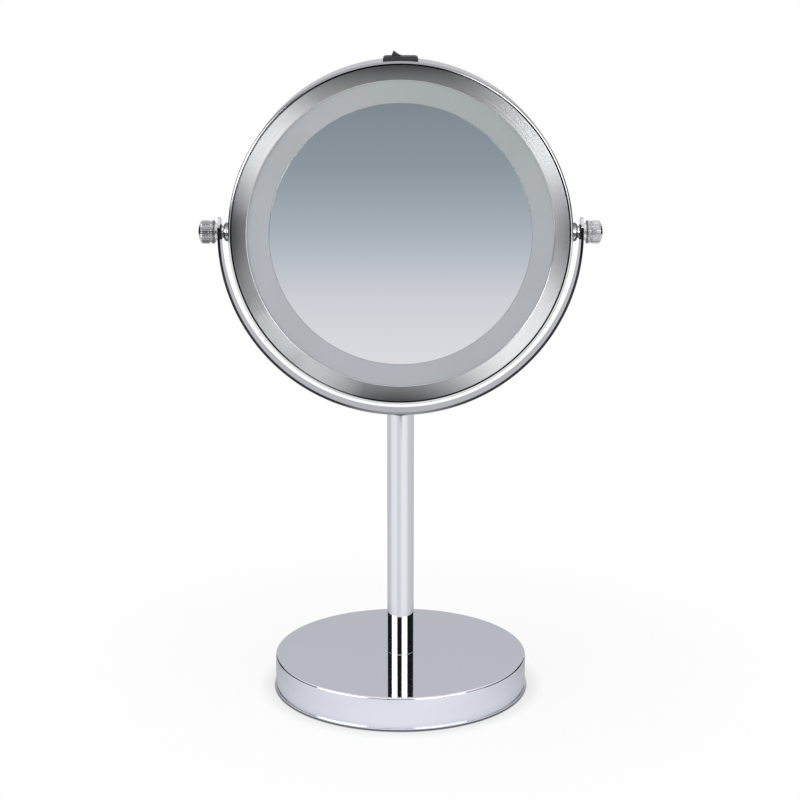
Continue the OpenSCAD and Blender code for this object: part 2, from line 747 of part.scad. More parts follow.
module battery_cells() color("steelblue") in_head() for (i = [0:cell_count - 1])
    translate([cell_way(i) * spring_l / 2, cell_y(i), cell_depth]) rotate([0, cell_way(i) * 90, 0]) {
        rod(cell_r, -cell_l / 2, cell_l / 2 - cell_button_l);
        rod(cell_button_d / 2, 0, cell_l / 2);
    }

// A cone-shaped coil of wire
module coil(length) {
    steps = spring_turns * spring_rings;
    sweep([for (i = [0:steps]) let (
        a = 360 * i / spring_rings, r = spring_wide_r + (spring_narrow_r - spring_wide_r) * i / steps
    ) [r * cos(a), r * sin(a), spring_wire_d / 2 + (length - spring_wire_d) * i / steps]],
        spring_wire_d / 2, spring_sides, [0, 0, 1]);
}

module contact_springs() color("silver") in_head() for (i = [0:cell_count - 1])
    translate([-cell_way(i) * (tray_in_x - contact_t), cell_y(i), cell_depth])
        rotate([0, cell_way(i) * 90, 0]) coil(spring_l);

// A plate at the right (+1) or left (-1) end of the tray, across cells i to j
module contact_plate(side, i, j) {
    x0 = side > 0 ? tray_in_x - contact_t : -tray_in_x;
    block([x0, cell_y(j) - contact_w / 2, cell_depth - contact_w / 2],
        [x0 + contact_t, cell_y(i) + contact_w / 2, cell_depth + contact_w / 2]);
}

module contact_plates() color("lightgray") in_head() {
    contact_plate(1, 0, 0);
    contact_plate(1, 1, 2);
    contact_plate(1, 3, 3);
    contact_plate(-1, 0, 1);
    contact_plate(-1, 2, 3);
    contact_tab(0);
    contact_tab(cell_count - 1);
}

function on_board(a, depth) = [led_ring_r * cos(a), led_ring_r * sin(a), depth];

// From the bay's positive tab to the switch, and from the switch to the circuit board
module wire_red() color("red") in_head() {
    start = [tab_x + wire_end_gap, cell_y(0), cell_depth];
    terminal = [terminal_x, terminal_end - wire_end_gap, 0];
    wire([start, start + [wire_bend, 0, 0], start + [wire_bend, 4 * wire_bend, 0],
        terminal - [-2 * wire_bend, 3 * wire_bend, 0], terminal - [0, wire_bend, 0], terminal]);
    other = [-terminal_x, terminal_end - wire_end_gap, 0];
    hole = on_board(red_hole_a, 0);
    wire([other, other - [0, wire_bend, 0], [hole.x, other.y - wire_bend, 0],
        [hole.x, hole.y, wire_bend], [hole.x, hole.y, carrier_front - wire_end_gap]]);
}

// From the bay's negative tab to the circuit board
module wire_black() color([0.1, 0.1, 0.1]) in_head() {
    start = [tab_x + wire_end_gap, cell_y(cell_count - 1), cell_depth];
    hole = on_board(black_hole_a, 0);
    wire([start, start + [wire_bend, 0, 0], hole + [-3 * wire_bend, wire_bend, 0],
        hole + [-wire_bend / 2, 0, 0], hole + [0, 0, wire_bend],
        [hole.x, hole.y, carrier_front - wire_end_gap]]);
}

// ---- switch ----

module switch_housing() color([0.12, 0.12, 0.13]) in_head() difference() {
    union() {
        translate([0, 0, -switch_w / 2]) linear_extrude(switch_w) difference() {
            polygon(concat(
                [[-switch_l / 2, head_r - flange_root]],
                arc([-switch_l / 2 + switch_end_r, flange_top - switch_end_r], switch_end_r, 180, 90, 6),
                arc([switch_l / 2 - switch_end_r, flange_top - switch_end_r], switch_end_r, 90, 0, 6),
                [[switch_l / 2, head_r - flange_root]]
            ));
            circle(r = head_r, $fn = round_fn);
        }
        block([-housing_half_l, housing_low, -housing_half_w],
            [housing_half_l, head_r + switch_flange_h / 2, housing_half_w]);
    }
    block([-rocker_well_half_l, housing_low + switch_wall_t, -housing_half_w + switch_wall_t],
        [rocker_well_half_l, flange_top + cut, housing_half_w - switch_wall_t]);
    translate([0, rocker_pin_y, 0])
        rod(rocker_pin_d / 2 + running_fit, -housing_half_w, housing_half_w, $fn = small_fn);
}

module switch_terminals() color("goldenrod") in_head() for (side = [-1, 1])
    block([side * terminal_x - terminal_t / 2, terminal_end, -terminal_w / 2],
        [side * terminal_x + terminal_t / 2, housing_low, terminal_w / 2]);

module switch_rocker() color([0.16, 0.16, 0.17]) in_head()
    translate([0, rocker_pin_y, 0]) rotate(-rocker_tilt) {
        translate([0, 0, -rocker_half_w]) linear_extrude(2 * rocker_half_w) union() {
            polygon(concat(
                arc([0, rocker_rise - rocker_hollow + rocker_curve_r], rocker_curve_r,
                    -90 - rocker_curve_a, -90 + rocker_curve_a, 10),
                [[rocker_foot_half_l, rocker_foot_y], [rocker_hub_r, -rocker_hub_r / 2],
                    [-rocker_hub_r, -rocker_hub_r / 2], [-rocker_foot_half_l, rocker_foot_y]]
            ));
            circle(r = rocker_hub_r, $fn = small_fn);
        }
        rod(rocker_pin_d / 2, -rocker_pin_half_l, rocker_pin_half_l, $fn = small_fn);
    }

// ---- tilt axis ----

module pivot_insert(side) color("goldenrod") on_pivot(side)
    ring(pivot_insert_d / 2, pivot_bore_r, block_in_x, block_in_x + pivot_insert_l);

module pivot_spacer(side) color("gainsboro") on_pivot(side) difference() {
    union() {
        rod(spacer_neck_d / 2, head_r, spacer_out_x);
        translate([0, 0, head_r + spacer_bead_r]) rotate_extrude() translate(
            [spacer_d / 2 - spacer_bead_r, 0]) circle(r = spacer_bead_r, $fn = small_fn);
    }
    rod(pivot_bore_r, head_r - cut, spacer_out_x + cut);
}

module friction_washer(side) color("ivory") on_pivot(side)
    ring(friction_washer_d / 2, pivot_bore_r, spacer_out_x, washer_out_x);

module pivot_screw(side) color("silver") on_pivot(side)
    rod(pivot_screw_d / 2, block_in_x, knob_in_x + screw_grip);

// Outline of a fluted barrel, with a flat-bottomed notch between each two ridges
module fluted(r) {
    polygon([for (i = [0:knob_flutes - 1], k = [0:3]) let (
        a = 360 * (i + k / 4) / knob_flutes, rr = k < 2 ? r : r - knob_flute_depth
    ) rr * [cos(a), sin(a)]]);
}

// A turned knob: neck, fluted ring, groove, fluted barrel and smooth domed end
module thumb_knob(side) color([0.8, 0.8, 0.81]) on_pivot(side) difference() {
    union() {
        rod(knob_neck_d / 2, knob_in_x, knob_ring_x);
        rod(knob_r - knob_groove_depth, knob_ring_x, knob_barrel_x);
        translate([0, 0, knob_ring_x]) fluted_barrel(knob_ring_l);
        translate([0, 0, knob_barrel_x]) fluted_barrel(knob_barrel_l);
        intersection() {
            rod(knob_r - knob_bevel, knob_dome_x, knob_dome_x + knob_dome_h);
            translate([0, 0, knob_dome_x + knob_dome_h - knob_dome_r]) sphere(r = knob_dome_r);
        }
    }
    rod(pivot_screw_d / 2, knob_in_x - cut, knob_in_x + screw_grip);
}

module fluted_barrel(length) {
    intersection() {
        linear_extrude(length) fluted(knob_r);
        rotate_extrude() polygon([
            [0, 0], [knob_r - knob_bevel, 0], [knob_r, knob_bevel], [knob_r, length - knob_bevel],
            [knob_r - knob_bevel, length], [0, length]
        ]);
    }
}

// ---- rear cover: comes off as one to reach the cells ----

module rear_rim() color([0.75, 0.75, 0.76]) in_head() mirror([0, 0, 1]) rim_shape();

// How far behind the tilt axis a surface lies that follows the mirror's hollow, offset inwards
function dish(r, inward) = rear_centre - sqrt(pow(rear_curve_r + inward, 2) - r * r);
// The radii at which all the hollow pieces are drawn, so that they lie on each other
dish_radii = concat(
    [for (i = [0:5]) rear_pad_in_r * i / 6],
    [for (i = [0:2]) rear_pad_in_r + (rear_pad_out_r - rear_pad_in_r) * i / 3],
    [for (i = [0:3]) rear_pad_out_r + (rear_step_r - rear_pad_out_r) * i / 4],
    [rear_step_r, glass_r]);
function dish_line(from, to, inward) =
    [for (r = dish_radii) if (r >= from && r <= to) [r, dish(r, inward)]];
function reversed(line) = [for (i = [len(line) - 1:-1:0]) line[i]];

module rear_mirror() color([0.7, 0.74, 0.78]) in_head() mirror([0, 0, 1])
    rotate_extrude($fn = round_fn) polygon(concat(
        dish_line(0, glass_r, 0), reversed(dish_line(0, glass_r, rear_glass_t))));

module rear_pad() color([0.2, 0.2, 0.21]) in_head() mirror([0, 0, 1])
    rotate_extrude($fn = round_fn) polygon(concat(
        dish_line(rear_pad_in_r, rear_pad_out_r, rear_glass_t),
        reversed(dish_line(rear_pad_in_r, rear_pad_out_r, rear_glass_t + rear_pad_t))));

// A dished plate with a raised step under the mirror's edge and a flange out to the rim's skirt
module rear_tray() color("whitesmoke") in_head() mirror([0, 0, 1])
    rotate_extrude($fn = round_fn) polygon(concat(
        dish_line(0, rear_step_r, rear_glass_t + rear_pad_t),
        dish_line(rear_step_r, glass_r, rear_glass_t),
        [
            [skirt_in_r, dish(glass_r, rear_glass_t)],
            [skirt_in_r, dish(glass_r, rear_glass_t) - rear_flange_t],
            [glass_r, dish(glass_r, rear_glass_t) - rear_flange_t]
        ],
        reversed(dish_line(0, rear_step_r, rear_glass_t + rear_pad_t + rear_tray_t))));

base_shell();
base_weight();
base_plate();
base_plate_screws();
base_pad();
base_bolt();
base_flat_washer();
base_spring_washer();
column_tube();
column_foot_plug();
column_head_plug();
yoke();
yoke_stud();
head_band();
chassis_ring();
front_rim();
front_mirror();
light_ring();
mirror_carrier();
mirror_pad();
carrier_screws();
led_board();
leds();
led_resistors();
battery_tray();
tray_screws();
battery_cells();
contact_springs();
contact_plates();
wire_red();
wire_black();
switch_housing();
switch_terminals();
switch_rocker();
pivot_insert(-1);  // pivot_insert_left
pivot_insert(1);  // pivot_insert_right
pivot_spacer(-1);  // pivot_spacer_left
pivot_spacer(1);  // pivot_spacer_right
friction_washer(-1);  // friction_washer_left
friction_washer(1);  // friction_washer_right
pivot_screw(-1);  // pivot_screw_left
pivot_screw(1);  // pivot_screw_right
thumb_knob(-1);  // thumb_knob_left
thumb_knob(1);  // thumb_knob_right
rear_rim();
rear_mirror();
rear_pad();
rear_tray();
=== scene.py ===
# Double-sided tabletop shaving mirror: its finishes, its turned and pressed shells, and the studio.
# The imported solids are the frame. Each section below dresses one piece or group of like pieces.
import math

import bmesh
import bpy
from mathutils import Matrix, Vector


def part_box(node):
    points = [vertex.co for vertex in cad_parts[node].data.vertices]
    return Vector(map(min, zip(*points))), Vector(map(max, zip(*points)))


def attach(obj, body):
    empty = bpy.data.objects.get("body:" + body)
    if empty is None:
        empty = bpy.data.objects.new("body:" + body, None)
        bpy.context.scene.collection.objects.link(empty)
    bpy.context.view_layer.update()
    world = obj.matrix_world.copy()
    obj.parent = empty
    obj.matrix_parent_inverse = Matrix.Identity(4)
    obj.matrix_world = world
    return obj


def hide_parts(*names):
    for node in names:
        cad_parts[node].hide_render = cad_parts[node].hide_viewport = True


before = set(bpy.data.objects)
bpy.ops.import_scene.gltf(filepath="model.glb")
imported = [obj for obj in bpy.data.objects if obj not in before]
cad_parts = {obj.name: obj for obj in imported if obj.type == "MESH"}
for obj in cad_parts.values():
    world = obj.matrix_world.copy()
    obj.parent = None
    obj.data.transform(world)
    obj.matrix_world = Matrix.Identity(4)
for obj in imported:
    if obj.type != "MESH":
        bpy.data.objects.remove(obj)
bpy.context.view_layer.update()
scene = bpy.context.scene

# ---- Camera ----
# It stands a metre in front, a little above the head's rim, and looks down on the stand as one
# does on a mirror that stands on a table.
camera_pitch = 13.5
camera_data = bpy.data.cameras.new("camera")
camera_data.sensor_width = 36
camera_data.lens = 85.6
camera = bpy.data.objects.new("camera", camera_data)
camera.location = (-0.0003, -0.999, 0.402)
camera.rotation_euler = (math.radians(90 - camera_pitch), 0, 0)
scene.collection.objects.link(camera)
scene.camera = camera
scene.view_settings.view_transform = "Standard"


# ---- Studio: sky ----
# A pale surrounding: white up to the horizon, as the table is, then a cool grey ceiling. What
# lights the stand softly is plain grey, and metal and glass see the brighter sky.
class Shade:
    """A socket in a finish's node tree. Sums on it add Math nodes, and node() adds any other."""

    def __init__(self, tree, socket=None):
        self.tree = tree
        self.socket = socket

    def node(self, kind, settings=None, inputs=None, output=0):
        made = self.tree.nodes.new(kind)
        for name, value in (settings or {}).items():
            if name == "stops":
                ramp = made.color_ramp
                while len(ramp.elements) < len(value):
                    ramp.elements.new(1.0)
                for element, (position, colour) in zip(ramp.elements, value):
                    element.position = position
                    element.color = (*colour, 1.0)
            else:
                setattr(made, name, value)
        for name, value in (inputs or {}).items():
            if isinstance(value, Shade):
                self.tree.links.new(value.socket, made.inputs[name])
            else:
                made.inputs[name].default_value = value
        return Shade(self.tree, made.outputs[output] if made.outputs else None)

    def maths(self, operation, first, second=0.0):
        return self.node("ShaderNodeMath", {"operation": operation}, {0: first, 1: second})

    def vector(self, operation, *others, output=0):
        return self.node("ShaderNodeVectorMath", {"operation": operation},
                         dict(enumerate((self, *others))), output)

    def __add__(self, other):
        return self.maths("ADD", self, other)

    def __sub__(self, other):
        return self.maths("SUBTRACT", self, other)

    def __rsub__(self, other):
        return self.maths("SUBTRACT", other, self)

    def __mul__(self, other):
        return self.maths("MULTIPLY", self, other)

    def __truediv__(self, other):
        return self.maths("DIVIDE", self, other)

    def __pow__(self, other):
        return self.maths("POWER", self, other)

    def __neg__(self):
        return self.maths("SUBTRACT", 0.0, self)

    def __abs__(self):
        return self.maths("ABSOLUTE", self)

    def __gt__(self, other):
        return self.maths("GREATER_THAN", self, other)

    def __lt__(self, other):
        return self.maths("LESS_THAN", self, other)

    __radd__ = __add__
    __rmul__ = __mul__


def coordinate(spot, axis):
    """One coordinate of a place or a direction: X, Y or Z."""
    return spot.node("ShaderNodeSeparateXYZ", inputs={0: spot}, output=axis)


def blended(share, first, second):
    """Two colours mixed: the first where the share is 0, the second where it is 1."""
    first, second = (tint if isinstance(tint, Shade) else (*tint, 1.0)
                     for tint in (first, second))
    return share.node("ShaderNodeMix", {"data_type": "RGBA"}, {0: share, 6: first, 7: second}, 2)


def seen_ray(shade):
    """1 for the rays by which the camera, metal and glass see a surface, 0 for the light's own."""
    rays = [shade.node("ShaderNodeLightPath", output=f"Is {kind} Ray")
            for kind in ("Camera", "Glossy", "Transmission")]
    return shade.maths("MAXIMUM", shade.maths("MAXIMUM", rays[0], rays[1]), rays[2])


sky_light = 0.7
horizon_white = (1.0, 1.0, 1.0)
sky_low = (0.7, 0.7, 0.72)
sky_grey = (0.57, 0.57, 0.61)
world = bpy.data.worlds.new("studio_sky")
world.use_nodes = True
world.node_tree.nodes.clear()
scene.world = world
sky = Shade(world.node_tree)
rise = coordinate(sky.node("ShaderNodeTexCoord", output="Generated"), "Z")
sky_tint = sky.node("ShaderNodeValToRGB", {"stops": [
    (0.0, horizon_white), (0.02, horizon_white), (0.1, sky_low), (0.28, sky_grey),
    (0.5, sky_grey), (0.85, horizon_white),
]}, {0: rise})
sky_shown = blended(sky.node("ShaderNodeLightPath", output="Is Camera Ray"),
                    sky_tint, horizon_white)
sky_lit = sky.node("ShaderNodeBackground", inputs={"Color": (1, 1, 1, 1), "Strength": sky_light})
sky_seen = sky.node("ShaderNodeBackground", inputs={"Color": sky_shown, "Strength": 1.0})
sky.node("ShaderNodeOutputWorld", inputs={
    "Surface": sky.node("ShaderNodeMixShader", inputs={
        0: seen_ray(sky), 1: sky_lit, 2: sky_seen})})


# ---- Studio: table ----
# A round white table top that keeps the stand's soft shadow. It glows where it is seen, less so
# near the stand, with a painted dark line round the foot and painted shade fading out from it.
def finish(name):
    """A bare material and the start of its node tree."""
    material = bpy.data.materials.new(name)
    material.use_nodes = True
    material.node_tree.nodes.clear()
    return material, Shade(material.node_tree)


def place(shade):
    """Where on the piece a point lies."""
    return shade.node("ShaderNodeTexCoord", output="Object")


def ranged(value, low, high, start=0.0, end=1.0, kind="LINEAR"):
    """Goes from start to end as a value goes from low to high, and no further."""
    return value.node("ShaderNodeMapRange", {"interpolation_type": kind}, {
        "Value": value, "From Min": low, "From Max": high, "To Min": start, "To Max": end})


def eased(value, low, high, start=0.0, end=1.0):
    """The same with soft ends."""
    return ranged(value, low, high, start, end, "SMOOTHSTEP")


def shining(shade, colour):
    """A surface that shines in its own colour."""
    return shade.node("ShaderNodeEmission", inputs={"Color": colour, "Strength": 1.0})


def surface(shader):
    """Ends a finish's node tree."""
    shader.node("ShaderNodeOutputMaterial", inputs={"Surface": shader})


def disc(r):
    """A flat round shape, lying level."""
    shape = bmesh.new()
    bmesh.ops.create_circle(shape, cap_ends=True, segments=96, radius=r)
    return shape


def meshed(name, shape):
    """Makes a shape a mesh and frees the shape."""
    mesh = bpy.data.meshes.new(name)
    shape.to_mesh(mesh)
    shape.free()
    return mesh


def link(name, mesh, material):
    """Puts a mesh with one material in the scene."""
    mesh.materials.append(material)
    placed = bpy.data.objects.new(name, mesh)
    scene.collection.objects.link(placed)
    return placed


table_r = 4.0
glow_near = 0.84
glow_from = 0.09
glow_full = 0.34
foot_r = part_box("base_shell")[1].x
foot_line_in = 0.0004
foot_line_out = 0.0008
painted_line_dark = 0.1
foot_shade = 0.84
foot_shade_w = 0.011
foot_shade_lift = 1.19
table_white, shade = finish("table_white")
away = place(shade).vector("LENGTH", output="Value")
table_glow = eased(away, glow_from, glow_full, glow_near)
# Painted shadow: a dark line right round the foot and a soft shade that fades out from it.
painted_foot_line = eased(away, foot_r - foot_line_in, foot_r + foot_line_out, painted_line_dark, foot_shade)
painted_foot_halo = eased(away, foot_r, foot_r + foot_shade_w, 1.0, foot_shade_lift)
table_tint = blended(shade.maths("MINIMUM", painted_foot_line * painted_foot_halo, 1.0),
                     (0.0, 0.0, 0.01), (1.0, 1.0, 1.0))
matte = shade.node("ShaderNodeBsdfDiffuse", inputs={"Color": (0.95, 0.95, 0.95, 1.0)})
surface(shade.node("ShaderNodeMixShader", inputs={
    0: table_glow * seen_ray(shade), 1: matte, 2: shining(shade, table_tint)}))
link("table", meshed("table", disc(table_r)), table_white)


# ---- Studio: cards ----
# Screens that only metal and glass see: a dark room all round but for a grey screen behind, four
# pale reflectors low in it, and close in front a small round card, pale below and darker above.
def card(name, shape, material):
    """A studio card that light and the camera pass through and reflections show."""
    panel = link(name, meshed(name, shape), material)
    panel.visible_camera = panel.visible_diffuse = panel.visible_shadow = False


def towards(azimuth, distance, height=0.0):
    """A place in the studio: azimuth 0 is in front, and it grows to the right."""
    angle = math.radians(azimuth)
    return Vector((distance * math.sin(angle), -distance * math.cos(angle), height))


room_r = 1.5
room_h = 0.75
room_left = -152
room_right = 148
reflector_r = 1.46
reflector_h = 0.27


def wall(name, first, last, colour, r=reflector_r, low=0.0, high=reflector_h):
    """An upright screen of even light, bent round the stand from one azimuth to another."""
    shape = bmesh.new()
    foot = shape.verts.new(towards(first, r, low))
    head = shape.verts.new(towards(first, r, high))
    edge = shape.edges.new((foot, head))
    bmesh.ops.spin(shape, geom=[foot, head, edge], axis=(0, 0, 1),
                   angle=math.radians(last - first), steps=48)
    even_light, shade = finish(name)
    surface(shining(shade, (*colour, 1.0)))
    card(name, shape, even_light)


wall("dark_room", room_left, room_right, (0.012, 0.012, 0.014), room_r, high=room_h)
wall("grey_screen", room_right, room_left + 360, sky_grey, room_r, high=room_r)
wall("left_reflector", -62, -14, (0.5, 0.5, 0.51))
wall("right_reflector", 48, 78, (0.75, 0.75, 0.77))
wall("front_right_reflector", 13, 36, (1.5, 1.5, 1.52))
wall("front_left_reflector", -31, -12, (1.7, 1.7, 1.72), low=0.25, high=0.37)

gradient_y = -0.85
gradient_r = 0.133
gradient_h = 0.27
gradient_pale, shade = finish("gradient_pale")
surface(shining(shade, shade.node("ShaderNodeValToRGB", {"stops": [
    (0.0, (0.82, 0.8, 0.82)), (0.25, (0.7, 0.7, 0.73)), (0.5, (0.44, 0.48, 0.52)),
    (0.72, (0.3, 0.34, 0.38)), (0.95, (0.24, 0.28, 0.3)),
]}, {0: coordinate(place(shade), "Z") / gradient_h})))
gradient_shape = disc(gradient_r)
bmesh.ops.rotate(gradient_shape, matrix=Matrix.Rotation(math.radians(90), 3, "X"),
                 verts=gradient_shape.verts)
bmesh.ops.translate(gradient_shape, vec=(0, gradient_y, gradient_r), verts=gradient_shape.verts)
card("gradient_card", gradient_shape, gradient_pale)

# ---- Studio: veil and soft boxes ----
# Two soft boxes light the stand from the left and the right. A veil just over the table dims what
# metal and glass see of it: least in the pools below the boxes, and all of it in a wedge ahead.
box_w = 1.0
box_h = 0.5
box_azimuths = (-55, 36)
box_energies = (5.2, 3.4)
box_distance = 1.1
box_height = 0.52
box_aim_z = 0.2
pool_shift = -4
pool_edge = 0.78
pool_heart = 0.99
pool_lit = 0.22
far_lit = 0.68
far_front_lit = 0.1
near_lit = 0.56
near_front_lit = 0.35
near_end = 0.085
far_start = 0.15
wedge_spread = 0.26
wedge_in = -0.02
wedge_out = 0.04
veil_lift = 0.0002
veil_dark, shade = finish("veil_dark")
spot = place(shade)
away = spot.vector("LENGTH", output="Value")
depth = coordinate(spot, "Y")
facing = -depth / away
pools = [
    eased(spot.vector("DOT_PRODUCT", towards(azimuth + pool_shift, 1.0), output="Value") / away,
          pool_edge, pool_heart)
    for azimuth in box_azimuths]
far_light = far_lit + far_front_lit * facing + pool_lit * shade.maths("MAXIMUM", *pools)
near_light = near_lit + near_front_lit * facing
nearness = eased(away, far_start, near_end)
lit = nearness * near_light + (1.0 - nearness) * far_light
ahead = shade.node("ShaderNodeValToRGB", {"stops": [
    (0.0, (0.0,) * 3), (0.48, (0.0,) * 3), (0.6, (0.25,) * 3), (0.67, (1.0,) * 3),
]}, {0: -depth})
wedge = eased(abs(coordinate(spot, "X")) + wedge_spread * depth, wedge_out, wedge_in)
surface(shade.node("ShaderNodeMixShader", inputs={
    0: shade.maths("MAXIMUM", ahead * wedge, 1.0 - lit),
    1: shade.node("ShaderNodeBsdfTransparent"),
    2: shining(shade, (0.05, 0.05, 0.055, 1.0))}))
veil_shape = disc(room_r)
bmesh.ops.translate(veil_shape, vec=(0, 0, veil_lift), verts=veil_shape.verts)
card("table_veil", veil_shape, veil_dark)

for azimuth, energy in zip(box_azimuths, box_energies):
    lamp_data = bpy.data.lights.new("soft_box", "AREA")
    lamp_data.shape = "RECTANGLE"
    lamp_data.size = box_w
    lamp_data.size_y = box_h
    lamp_data.energy = energy
    lamp = bpy.data.objects.new("soft_box", lamp_data)
    lamp.location = towards(azimuth, box_distance, box_height)
    aim = lamp.location - Vector((0, 0, box_aim_z))
    lamp.rotation_euler = aim.to_track_quat("Z", "Y").to_euler()
    lamp.visible_camera = False
    scene.collection.objects.link(lamp)


# ---- Base ----
# A pan pressed from 1 mm steel sheet, with a rounded top edge and a rolled bead at its foot,
# polished and chromed. It is bolted to the cast weight that it hides.
mm = 0.001


def turned(outline, steps):
    """Rounds the corners of an outline of (radius, height, rounding), and spins it about Z."""
    shape = bmesh.new()
    corners = [shape.verts.new((r * mm, 0, z * mm)) for r, z, _ in outline]
    for first, second in zip(corners, corners[1:]):
        shape.edges.new((first, second))
    if outline[0][0] > 0:
        shape.edges.new((corners[-1], corners[0]))
    for rounding in sorted({corner[2] for corner in outline} - {0}):
        bmesh.ops.bevel(
            shape, geom=[v for v, corner in zip(corners, outline) if corner[2] == rounding],
            offset=rounding * mm, affect="VERTICES", segments=6, profile=0.5, material=-1)
    bmesh.ops.spin(shape, geom=shape.verts[:] + shape.edges[:], axis=(0, 0, 1),
                   angle=2 * math.pi, steps=steps, use_merge=True)
    bmesh.ops.remove_doubles(shape, verts=shape.verts, dist=1e-6)
    bmesh.ops.recalc_face_normals(shape, faces=shape.faces)
    return shape


def piece(name, shape, material, sharp=35):
    """Makes a shape an object with smooth faces between its sharp edges."""
    mesh = meshed(name, shape)
    mesh.shade_smooth()
    mesh.set_sharp_from_angle(angle=math.radians(sharp))
    made = link(name, mesh, material)
    made.modifiers.new("even_shading", "WEIGHTED_NORMAL").keep_sharp = True
    return made


def fit(made, body, slot, *nodes):
    """Says what a piece rides and which solids it stands for. The slot, its finish, is not used."""
    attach(made, body)
    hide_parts(*nodes)


def noise(spot, scale, detail):
    """Soft random patches, about as many to the metre as the scale says."""
    return spot.node("ShaderNodeTexNoise", inputs={
        "Vector": spot, "Scale": scale, "Detail": detail})


def skin(tint, roughness, **others):
    """Ends a finish in the shader of a solid surface."""
    surface(tint.node("ShaderNodeBsdfPrincipled", inputs={
        "Base Color": tint, "Roughness": roughness, **others}))


base_low, base_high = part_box("base_shell")
base_top = base_high.z / mm
base_foot = base_low.z / mm
base_bead_r = 0.7
base_bead_round = 0.69
base_r = base_high.x / mm - base_bead_r
base_sheet = 1.0
base_bore_r = 2.7
base_edge_r = 1.2
base_chrome, shade = finish("base_chrome")
spot = place(shade)
patches = noise(spot, 14.0, 4.0)
# The chrome carries a painted reflection tint: the top a touch bluer in front and greener behind,
# and the side bluer than both.
rearward = 0.5 + 9.0 * coordinate(spot, "Y") + (0.6 * patches - 0.3)
top_reflection_tint = blended(rearward, (0.83, 0.83, 0.89), (0.79, 0.82, 0.84))
side_reflection_tint = blended(patches, (0.83, 0.85, 0.94), (0.8, 0.82, 0.92))
on_top = coordinate(spot, "Z") > (base_top - base_sheet) * mm
skin(blended(on_top, side_reflection_tint, top_reflection_tint), 0.025 + 0.035 * patches, Metallic=1.0)
fit(piece("base_pan", turned([
    (base_bore_r, base_top - base_sheet, 0),
    (base_r - base_sheet, base_top - base_sheet, 0.4),
    (base_r - base_sheet, base_foot, 0.2),
    (base_r + base_bead_r, base_foot, base_bead_round),
    (base_r + base_bead_r, base_foot + 2 * base_bead_r, base_bead_round),
    (base_r, base_foot + 2 * base_bead_r, 0.25),
    (base_r, base_top, base_edge_r),
    (base_bore_r, base_top, 0),
], 240), base_chrome), "stand", "base_chrome", "base_shell")


# ---- Foam under the base ----
# A disc of closed-cell foam, glued to the bottom plate, stands a hair proud of the pan. Its
# edge bulges a little where it is die-cut, and it is matte and slightly pitted.
def bumps(height, strength, relief):
    """The small ups and downs of a surface."""
    return height.node("ShaderNodeBump", inputs={
        "Height": height, "Strength": strength, "Distance": relief})


foam_black, shade = finish("base_foam")
pores = shade.node("ShaderNodeTexVoronoi", inputs={"Vector": place(shade), "Scale": 1800.0})
skin(blended(pores, (0.03, 0.03, 0.033), (0.07, 0.07, 0.075)), 0.9,
     Normal=bumps(pores, 0.8, 0.0002))
pad_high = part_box("base_pad")[1]
pad_r = pad_high.x / mm
pad_t = pad_high.z / mm
pad_edge_r = 0.45
base_foam = piece("base_foam", turned([
    (0, 0, 0), (pad_r, 0, pad_edge_r), (pad_r, pad_t, pad_edge_r), (0, pad_t, 0)], 180),
    foam_black)
fit(base_foam, "stand", "base_foam", "base_pad")


# ---- Column ----
# Drawn steel tube, polished and chromed, with a broken edge at its foot. Its upper end is
# milled hollow, so that the round of the yoke lies in it.
def drifting(name, colour, drift, roughness, rougher, patch, grain=0.0, relief=0.0, **fixed):
    """A finish that is a little uneven in patches and may have a fine grain.

    The colour drifts to a share of itself and the roughness to a second one. Patch and grain say
    about how many there are to the metre, and relief how far the grain stands proud."""
    material, shade = finish(name)
    spot = place(shade)
    patches = noise(spot, patch, 4.0)
    if grain:
        fixed["Normal"] = bumps(noise(spot, grain, 3.0), 1.0, relief)
    skin(blended(patches, colour, [level * drift for level in colour]),
         roughness + (rougher - roughness) * patches, **fixed)
    return material


yoke_low, yoke_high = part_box("yoke")
yoke_t = 1.4
yoke_out_r = yoke_high.x / mm
yoke_in_r = yoke_out_r - yoke_t
yoke_z = yoke_low.z / mm + yoke_out_r
column_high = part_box("column_tube")[1]
column_wall = 1.0
column_r = column_high.x / mm
column_in_r = column_r - column_wall
column_shape = turned([
    (column_in_r, base_top, 0), (column_r, base_top, 0.3),
    (column_r, column_high.z / mm, 0), (column_in_r, column_high.z / mm, 0)], 160)
for point in column_shape.verts:
    if point.co.z > column_high.z - 0.01 * mm:
        point.co.z = yoke_z * mm - math.sqrt((yoke_out_r * mm) ** 2 - point.co.x ** 2)
column_chrome = drifting("column_chrome", (0.8, 0.8, 0.87), 0.97, 0.02, 0.05, 18.0, Metallic=1.0)
fit(piece("column", column_shape, column_chrome), "stand", "column_chrome", "column_tube")

# ---- Yoke ----
# One steel strip with round ends, drilled at both, bent to a half circle, its edges polished
# round before it was chromed. A flush rivet joins it to the column.
yoke_w = 12.3
yoke_edge_r = 0.13
yoke_foot = yoke_low.z / mm
lug_top = yoke_high.z / mm
screw_low, screw_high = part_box("pivot_screw_left")
pivot_z = (screw_low.z + screw_high.z) / 2 / mm
pivot_bore_r = 2.5
rivet_r = 2.5
rivet_head_r = 3.6
overrun = 5.0


def carved(made, tool, operation="DIFFERENCE"):
    """Cuts a helper shape out of a piece, or adds it, and throws the helper away."""
    cutter_mesh = meshed("cutter", tool)
    cutter = bpy.data.objects.new("cutter", cutter_mesh)
    scene.collection.objects.link(cutter)
    cut = made.modifiers.new("cut", "BOOLEAN")
    cut.operation = operation
    cut.object = cutter
    made.modifiers.move(len(made.modifiers) - 1, 0)
    with bpy.context.temp_override(object=made, active_object=made):
        bpy.ops.object.modifier_apply(modifier="cut")
    bpy.data.objects.remove(cutter)
    bpy.data.meshes.remove(cutter_mesh)
    made.data.shade_smooth()
    made.data.set_sharp_from_angle(angle=math.radians(35))


